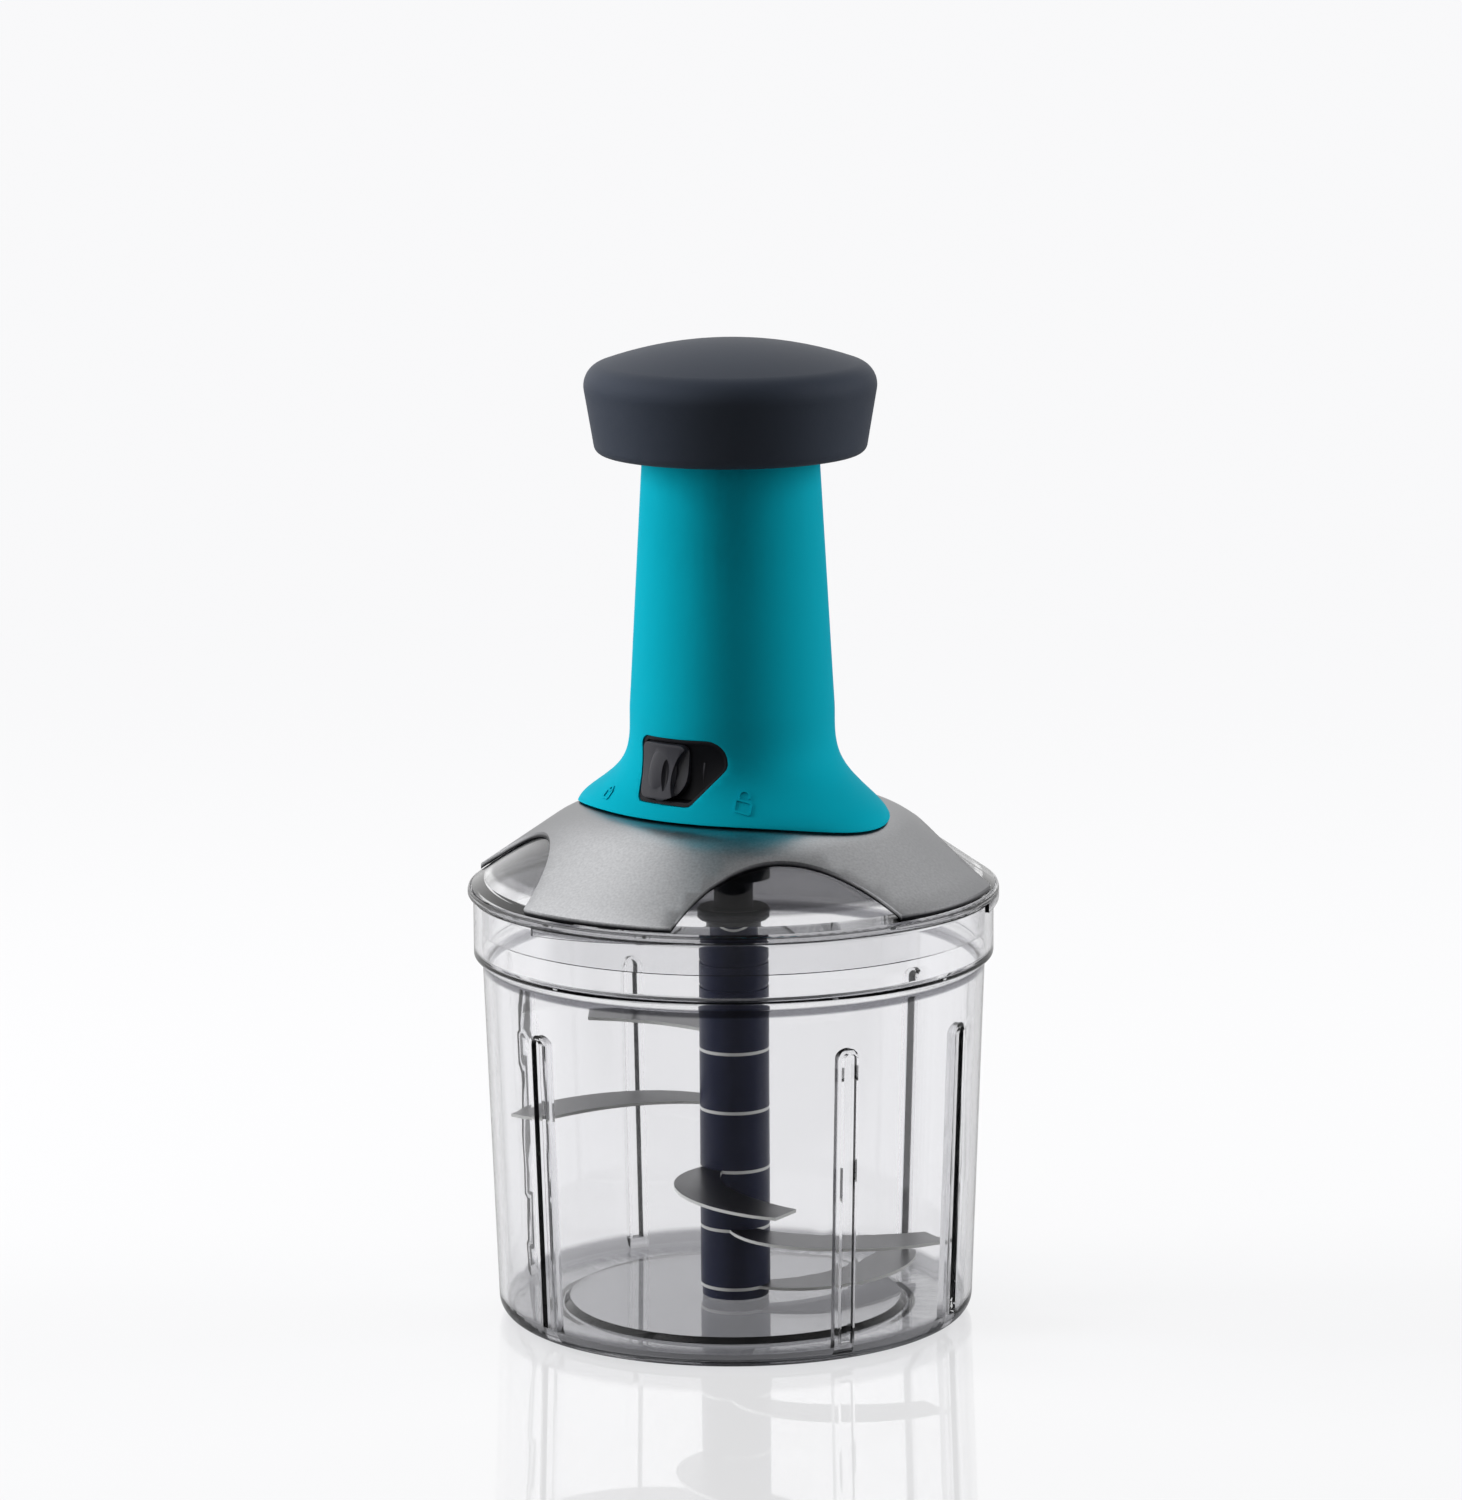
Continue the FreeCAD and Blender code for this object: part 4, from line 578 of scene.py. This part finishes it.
FACE_TILT = math.radians(-12)
LENS_PLACE, LENS_SIZE = (-0.0043, -0.0269, 0.1434), (0.0040, 0.0015, 0.0072)
GROOVE_PLACE, GROOVE_SIZE = (-0.0029, -0.0287, 0.1434), (0.0010, 0.0014, 0.0042)
STEP_PLACE, STEP_R, STEP_LENGTH, STEP_DROP = (0.0089, -0.0300, 0.1424), 0.0100, 0.02, 0.0018
SLIDE_EDGE = 0.00022
EDGE_ANGLE, SMOOTH_ANGLE = math.radians(30), math.radians(35)


def begin(name):
    """Names the primitive just added and opens it for editing, with nothing selected."""
    piece = bpy.context.object
    piece.name = name
    bpy.ops.object.mode_set(mode="EDIT")
    bpy.ops.mesh.select_all(action="DESELECT")
    return piece


def pick(piece, mode, test):
    """Selects the vertices (VERT) or edges (EDGE) whose middle passes the test."""
    bpy.ops.mesh.select_mode(type=mode)
    bpy.ops.mesh.select_all(action="DESELECT")
    bpy.ops.object.mode_set(mode="OBJECT")
    vertices = piece.data.vertices
    if mode == "VERT":
        for vertex in vertices:
            vertex.select = test(vertex.co)
    else:
        for edge in piece.data.edges:
            start, end = (vertices[i].co for i in edge.vertices)
            edge.select = test((start + end) / 2)
    bpy.ops.object.mode_set(mode="EDIT")


def close(piece, outward=True):
    """Ends the editing, with the place in the mesh and the faces turned outwards."""
    bpy.ops.mesh.select_all(action="SELECT")
    if outward:
        bpy.ops.mesh.normals_make_consistent(inside=False)
    bpy.ops.object.mode_set(mode="OBJECT")
    bpy.ops.object.transform_apply(location=True, rotation=True, scale=True)
    return piece


def alone(piece):
    """Makes one object the only one selected."""
    bpy.ops.object.select_all(action="DESELECT")
    piece.select_set(True)
    bpy.context.view_layer.objects.active = piece


def boolean(piece, tool, operation):
    """Cuts, joins or crosses two solids and removes the tool."""
    alone(piece)
    step = piece.modifiers.new("boolean", "BOOLEAN")
    step.operation = operation
    step.object = tool
    step.solver = "EXACT"
    bpy.ops.object.modifier_apply(modifier=step.name)
    bpy.data.objects.remove(tool)


def turned_skin(inset):
    """The slide's face as a solid of revolution, drawn up ring by ring."""
    bpy.ops.object.select_all(action="DESELECT")
    low, radius = SKIN[0]
    bpy.ops.mesh.primitive_circle_add(vertices=SKIN_SIDES, radius=radius - inset,
                                      fill_type="NGON", location=(*SKIN_AXIS, low))
    skin = begin("skin")
    bpy.ops.mesh.select_all(action="SELECT")
    for (below, wide), (above, narrow) in zip(SKIN, SKIN[1:]):
        bpy.ops.mesh.extrude_region_move(TRANSFORM_OT_translate={"value": (0, 0, above - below)})
        size = (narrow - inset) / (wide - inset)
        bpy.ops.transform.resize(value=(size, size, 1), center_override=(*SKIN_AXIS, above))
    return close(skin)


def cylinder(name, radius, length, place, turn=(0, 0, 0)):
    """A round tool to cut with, upright unless it is turned."""
    bpy.ops.object.select_all(action="DESELECT")
    bpy.ops.mesh.primitive_cylinder_add(vertices=180, radius=radius, depth=length,
                                        location=place, rotation=turn)
    return close(begin(name))


def ball(name, place, size):
    """A ball drawn out to three half widths and tilted along the slide's face."""
    bpy.ops.object.select_all(action="DESELECT")
    bpy.ops.mesh.primitive_uv_sphere_add(segments=64, ring_count=32, radius=1.0, location=place,
                                         rotation=(FACE_TILT, 0, 0))
    piece = begin(name)
    piece.scale = size
    return close(piece)


def pick_at(piece, mode, across, height):
    """Selects what has its middle at a place of the slide's outline."""
    pick(piece, mode, lambda middle: abs(middle.x - across) < TOUCH
         and abs(middle.z - height) < TOUCH)


def slide_block():
    """The slide's outline as a block, with its four corners rounded."""
    bpy.ops.object.select_all(action="DESELECT")
    bpy.ops.mesh.primitive_cube_add(size=1.0, location=(0, 0, 0))
    block = begin("lock_slide")
    bpy.ops.mesh.select_all(action="SELECT")
    bpy.ops.transform.resize(value=(BLOCK_SIDE, BLOCK_DEPTH, BLOCK_SIDE),
                             center_override=(0, 0, 0))
    sides = ((-1, -1), (1, -1), (1, 1), (-1, 1))
    for (across, height, _), (right, up) in zip(SLIDE_CORNERS, sides):
        old_across, old_height = right * BLOCK_SIDE / 2, up * BLOCK_SIDE / 2
        pick_at(block, "VERT", old_across, old_height)
        bpy.ops.transform.translate(value=(across - old_across, BLOCK_FRONT,
                                           height - old_height))
    for across, height, rounding in SLIDE_CORNERS:
        pick_at(block, "EDGE", across, height)
        bpy.ops.mesh.bevel(offset=rounding, segments=8, profile=0.5, affect="EDGES")
    return close(block)


def finish_moulding(piece, edge):
    """Turns a drawn piece to the lock's side of the column and softens its edges."""
    alone(piece)
    soften = piece.modifiers.new("soften", "BEVEL")
    soften.width = edge
    soften.segments = 2
    soften.limit_method = "ANGLE"
    soften.angle_limit = EDGE_ANGLE
    bpy.ops.object.modifier_apply(modifier=soften.name)
    piece.rotation_euler = (0, 0, LOCK_TURN)
    bpy.ops.object.transform_apply(location=True, rotation=True, scale=True)
    bpy.ops.object.shade_smooth_by_angle(angle=SMOOTH_ANGLE)


slide = slide_block()
boolean(slide, turned_skin(0.0), "INTERSECT")
bore = cylinder("bore", SLIDE_BACK_R, BORE_LENGTH, (0, 0, BORE_HEIGHT))
boolean(slide, bore, "DIFFERENCE")
step = cylinder("step", STEP_R, STEP_LENGTH, STEP_PLACE, (math.pi / 2, 0, 0))
boolean(step, turned_skin(STEP_DROP), "DIFFERENCE")
boolean(slide, step, "DIFFERENCE")
boolean(slide, ball("lens", LENS_PLACE, LENS_SIZE), "UNION")
boolean(slide, ball("groove", GROOVE_PLACE, GROOVE_SIZE), "DIFFERENCE")
finish_moulding(slide, SLIDE_EDGE)
# The slide and the tray's rib get the lock's black made lighter: painted light on what stands
# out.
lit_black = plain_plastic("lit_black", (0.020, 0.020, 0.026), (0.032, 0.032, 0.040),
                           grain=1500.0, roughness=0.38)
slide.data.materials.append(lit_black)
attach(slide, "lock")
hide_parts("lock_button")

# The fine rib on the tray's face, right of the slide.
RIB_PLACE = (0.0057, -0.0239, 0.1430)
RIB_SIZE = (0.0005, 0.0005, 0.0070)
RIB_LEAN = math.radians(7)
RIB_EDGE = 0.000071
bpy.ops.object.select_all(action="DESELECT")
bpy.ops.mesh.primitive_cube_add(size=1.0, location=RIB_PLACE)
rib = begin("lock_tray_rib")
rib.scale = RIB_SIZE
rib.rotation_euler = (0, RIB_LEAN, 0)
close(rib)
finish_moulding(rib, RIB_EDGE)
rib.data.materials.append(lit_black)
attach(rib, "head")


# ---- lock icons -------------------------------------------------------------
# Two small padlocks raised on the column's foot in its own teal: an open one
# at the right end of the slide's way and a shut one at its left end.
ICON_LINE = 0.00045             # width of a raised line
ICON_THICKNESS = 0.00045
ICON_OFFSET = 0.4               # at 1 a line would stand wholly outside the column
ICON_OUTSIDE = -0.06            # where an icon is drawn, before it is laid on the column
ICON_CORNER = 0.0006
ICON_HOOK = 0.0003              # longest end on the free side of a shackle
ICON_TOUCH = 1e-6
UPRIGHT = (math.pi / 2, 0, 0)
ICONS = (
    # name, azimuth, height, body width, body height, shackle radius, lift, lean
    ("icon_open", 4.5, 0.1366, 0.0044, 0.0031, 0.00150, 0.0013, -14.0),
    ("icon_shut", -76.0, 0.1356, 0.0030, 0.0023, 0.00105, 0.0003, 0.0),
)


def keep_rim():
    """Leaves only the rim of a flat face, as the outline in a raised line."""
    bpy.ops.mesh.select_mode(type="FACE")
    bpy.ops.mesh.select_all(action="SELECT")
    bpy.ops.mesh.inset(thickness=ICON_LINE, depth=0.0)
    bpy.ops.mesh.delete(type="FACE")


def padlock_body(name, height, width, tall):
    """The outline of a padlock's body, upright, with rounded corners."""
    bpy.ops.object.select_all(action="DESELECT")
    bpy.ops.mesh.primitive_plane_add(size=1.0, location=(0, ICON_OUTSIDE, height),
                                     rotation=UPRIGHT)
    body = begin(name)
    body.scale = (width, tall, 1.0)
    close(body, outward=False)
    begin(name)
    bpy.ops.mesh.select_all(action="SELECT")
    bpy.ops.mesh.bevel(offset=ICON_CORNER, segments=4, affect="VERTICES")
    keep_rim()
    bpy.ops.object.mode_set(mode="OBJECT")
    return body


def padlock_shackle(low, radius, lift):
    """Half a ring with a leg at its left end and a short hook at its right one."""
    bpy.ops.object.select_all(action="DESELECT")
    bpy.ops.mesh.primitive_circle_add(vertices=32, radius=radius, fill_type="NGON",
                                      location=(0, ICON_OUTSIDE, low), rotation=UPRIGHT)
    bow = begin("bow")
    close(bow, outward=False)
    begin("bow")
    keep_rim()
    bpy.ops.mesh.select_all(action="SELECT")
    bpy.ops.mesh.bisect(plane_co=(0, 0, low), plane_no=(0, 0, 1), clear_inner=True)
    for side, drop in ((-1, lift), (1, min(lift, ICON_HOOK))):
        pick(bow, "EDGE", lambda middle: abs(middle.z - low) < ICON_TOUCH
             and side * middle.x > 0)
        bpy.ops.mesh.extrude_region_move(TRANSFORM_OT_translate={"value": (0, 0, -drop)})
    bpy.ops.object.mode_set(mode="OBJECT")
    return bow


def padlock(name, azimuth, height, width, tall, radius, lift, lean):
    """Draws a padlock before the column, lays it on the column's face and thickens it."""
    body = padlock_body(name, height, width, tall)
    bow = padlock_shackle(height + tall / 2 + lift - ICON_LINE, radius, lift)
    alone(body)
    bow.select_set(True)
    bpy.ops.object.join()
    bpy.ops.object.mode_set(mode="EDIT")
    bpy.ops.mesh.select_all(action="SELECT")
    bpy.ops.mesh.quads_convert_to_tris()
    bpy.ops.mesh.subdivide(number_cuts=2)
    bpy.ops.transform.rotate(value=math.radians(lean), orient_axis="Y",
                             center_override=(0, ICON_OUTSIDE, height))
    bpy.ops.object.mode_set(mode="OBJECT")
    body.rotation_euler = (0, 0, math.radians(azimuth))
    lay = body.modifiers.new("lay", "SHRINKWRAP")
    lay.target = nodes["column"]
    lay.wrap_method = "PROJECT"
    lay.use_project_y = True
    bpy.ops.object.modifier_apply(modifier=lay.name)
    raised = body.modifiers.new("raised", "SOLIDIFY")
    raised.thickness = ICON_THICKNESS
    raised.offset = ICON_OFFSET
    bpy.ops.object.modifier_apply(modifier=raised.name)
    bpy.ops.object.transform_apply(location=True, rotation=True, scale=True)
    body.data.materials.append(teal)
    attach(body, "head")


for icon in ICONS:
    padlock(*icon)


# ---- cap --------------------------------------------------------------------
# A broad palm cap with a charcoal soft-touch skin, on the plunger's upper end.
# Locked down, it stands just over the column's mouth.
soft_touch = plain_plastic("soft_touch_cap", (0.025, 0.031, 0.045), (0.038, 0.047, 0.067),
                           grain=2200.0, roughness=0.55, spread=0.06, depth=0.25, gloss=0.3)
dress(soft_touch, "cap_cover")


# ---- plunger and drive ------------------------------------------------------
# What the raised cap shows, and what turns inside: grey tubes, white bearings,
# a bright twisted rod, springs and screws.
light_grey = plain_plastic("light_grey_plastic", (0.40, 0.41, 0.42), (0.48, 0.49, 0.50),
                           grain=1200.0, roughness=0.38)
dress(light_grey, "plunger_sleeve", "nut_tube")
acetal = plain_plastic("white_acetal", (0.70, 0.69, 0.66), (0.80, 0.79, 0.76),
                       grain=1200.0, roughness=0.35)
dress(acetal, "drive_nut", "hub_bush", "shaft_bush", "guide_bush", "clutch_lower", "clutch_upper")
rod_metal = steel("rod_metal", (0.60, 0.60, 0.62), (0.76, 0.76, 0.78),
                  roughness=0.25, spread=0.07, stretch=(1, 1, 10))
dress(rod_metal, "drive_rod")
wire = steel("spring_wire", (0.36, 0.36, 0.37), (0.50, 0.50, 0.51),
             roughness=0.28, spread=0.08, stretch=(4, 4, 1))
dress(wire, "return_spring", "clutch_spring", "lock_detent_spring")
zinc = steel("zinc_screws", (0.48, 0.48, 0.46), (0.62, 0.62, 0.60),
             roughness=0.34, spread=0.08, stretch=(3, 3, 1))
dress(zinc, "column_screws", "hub_screws", "cap_screws")
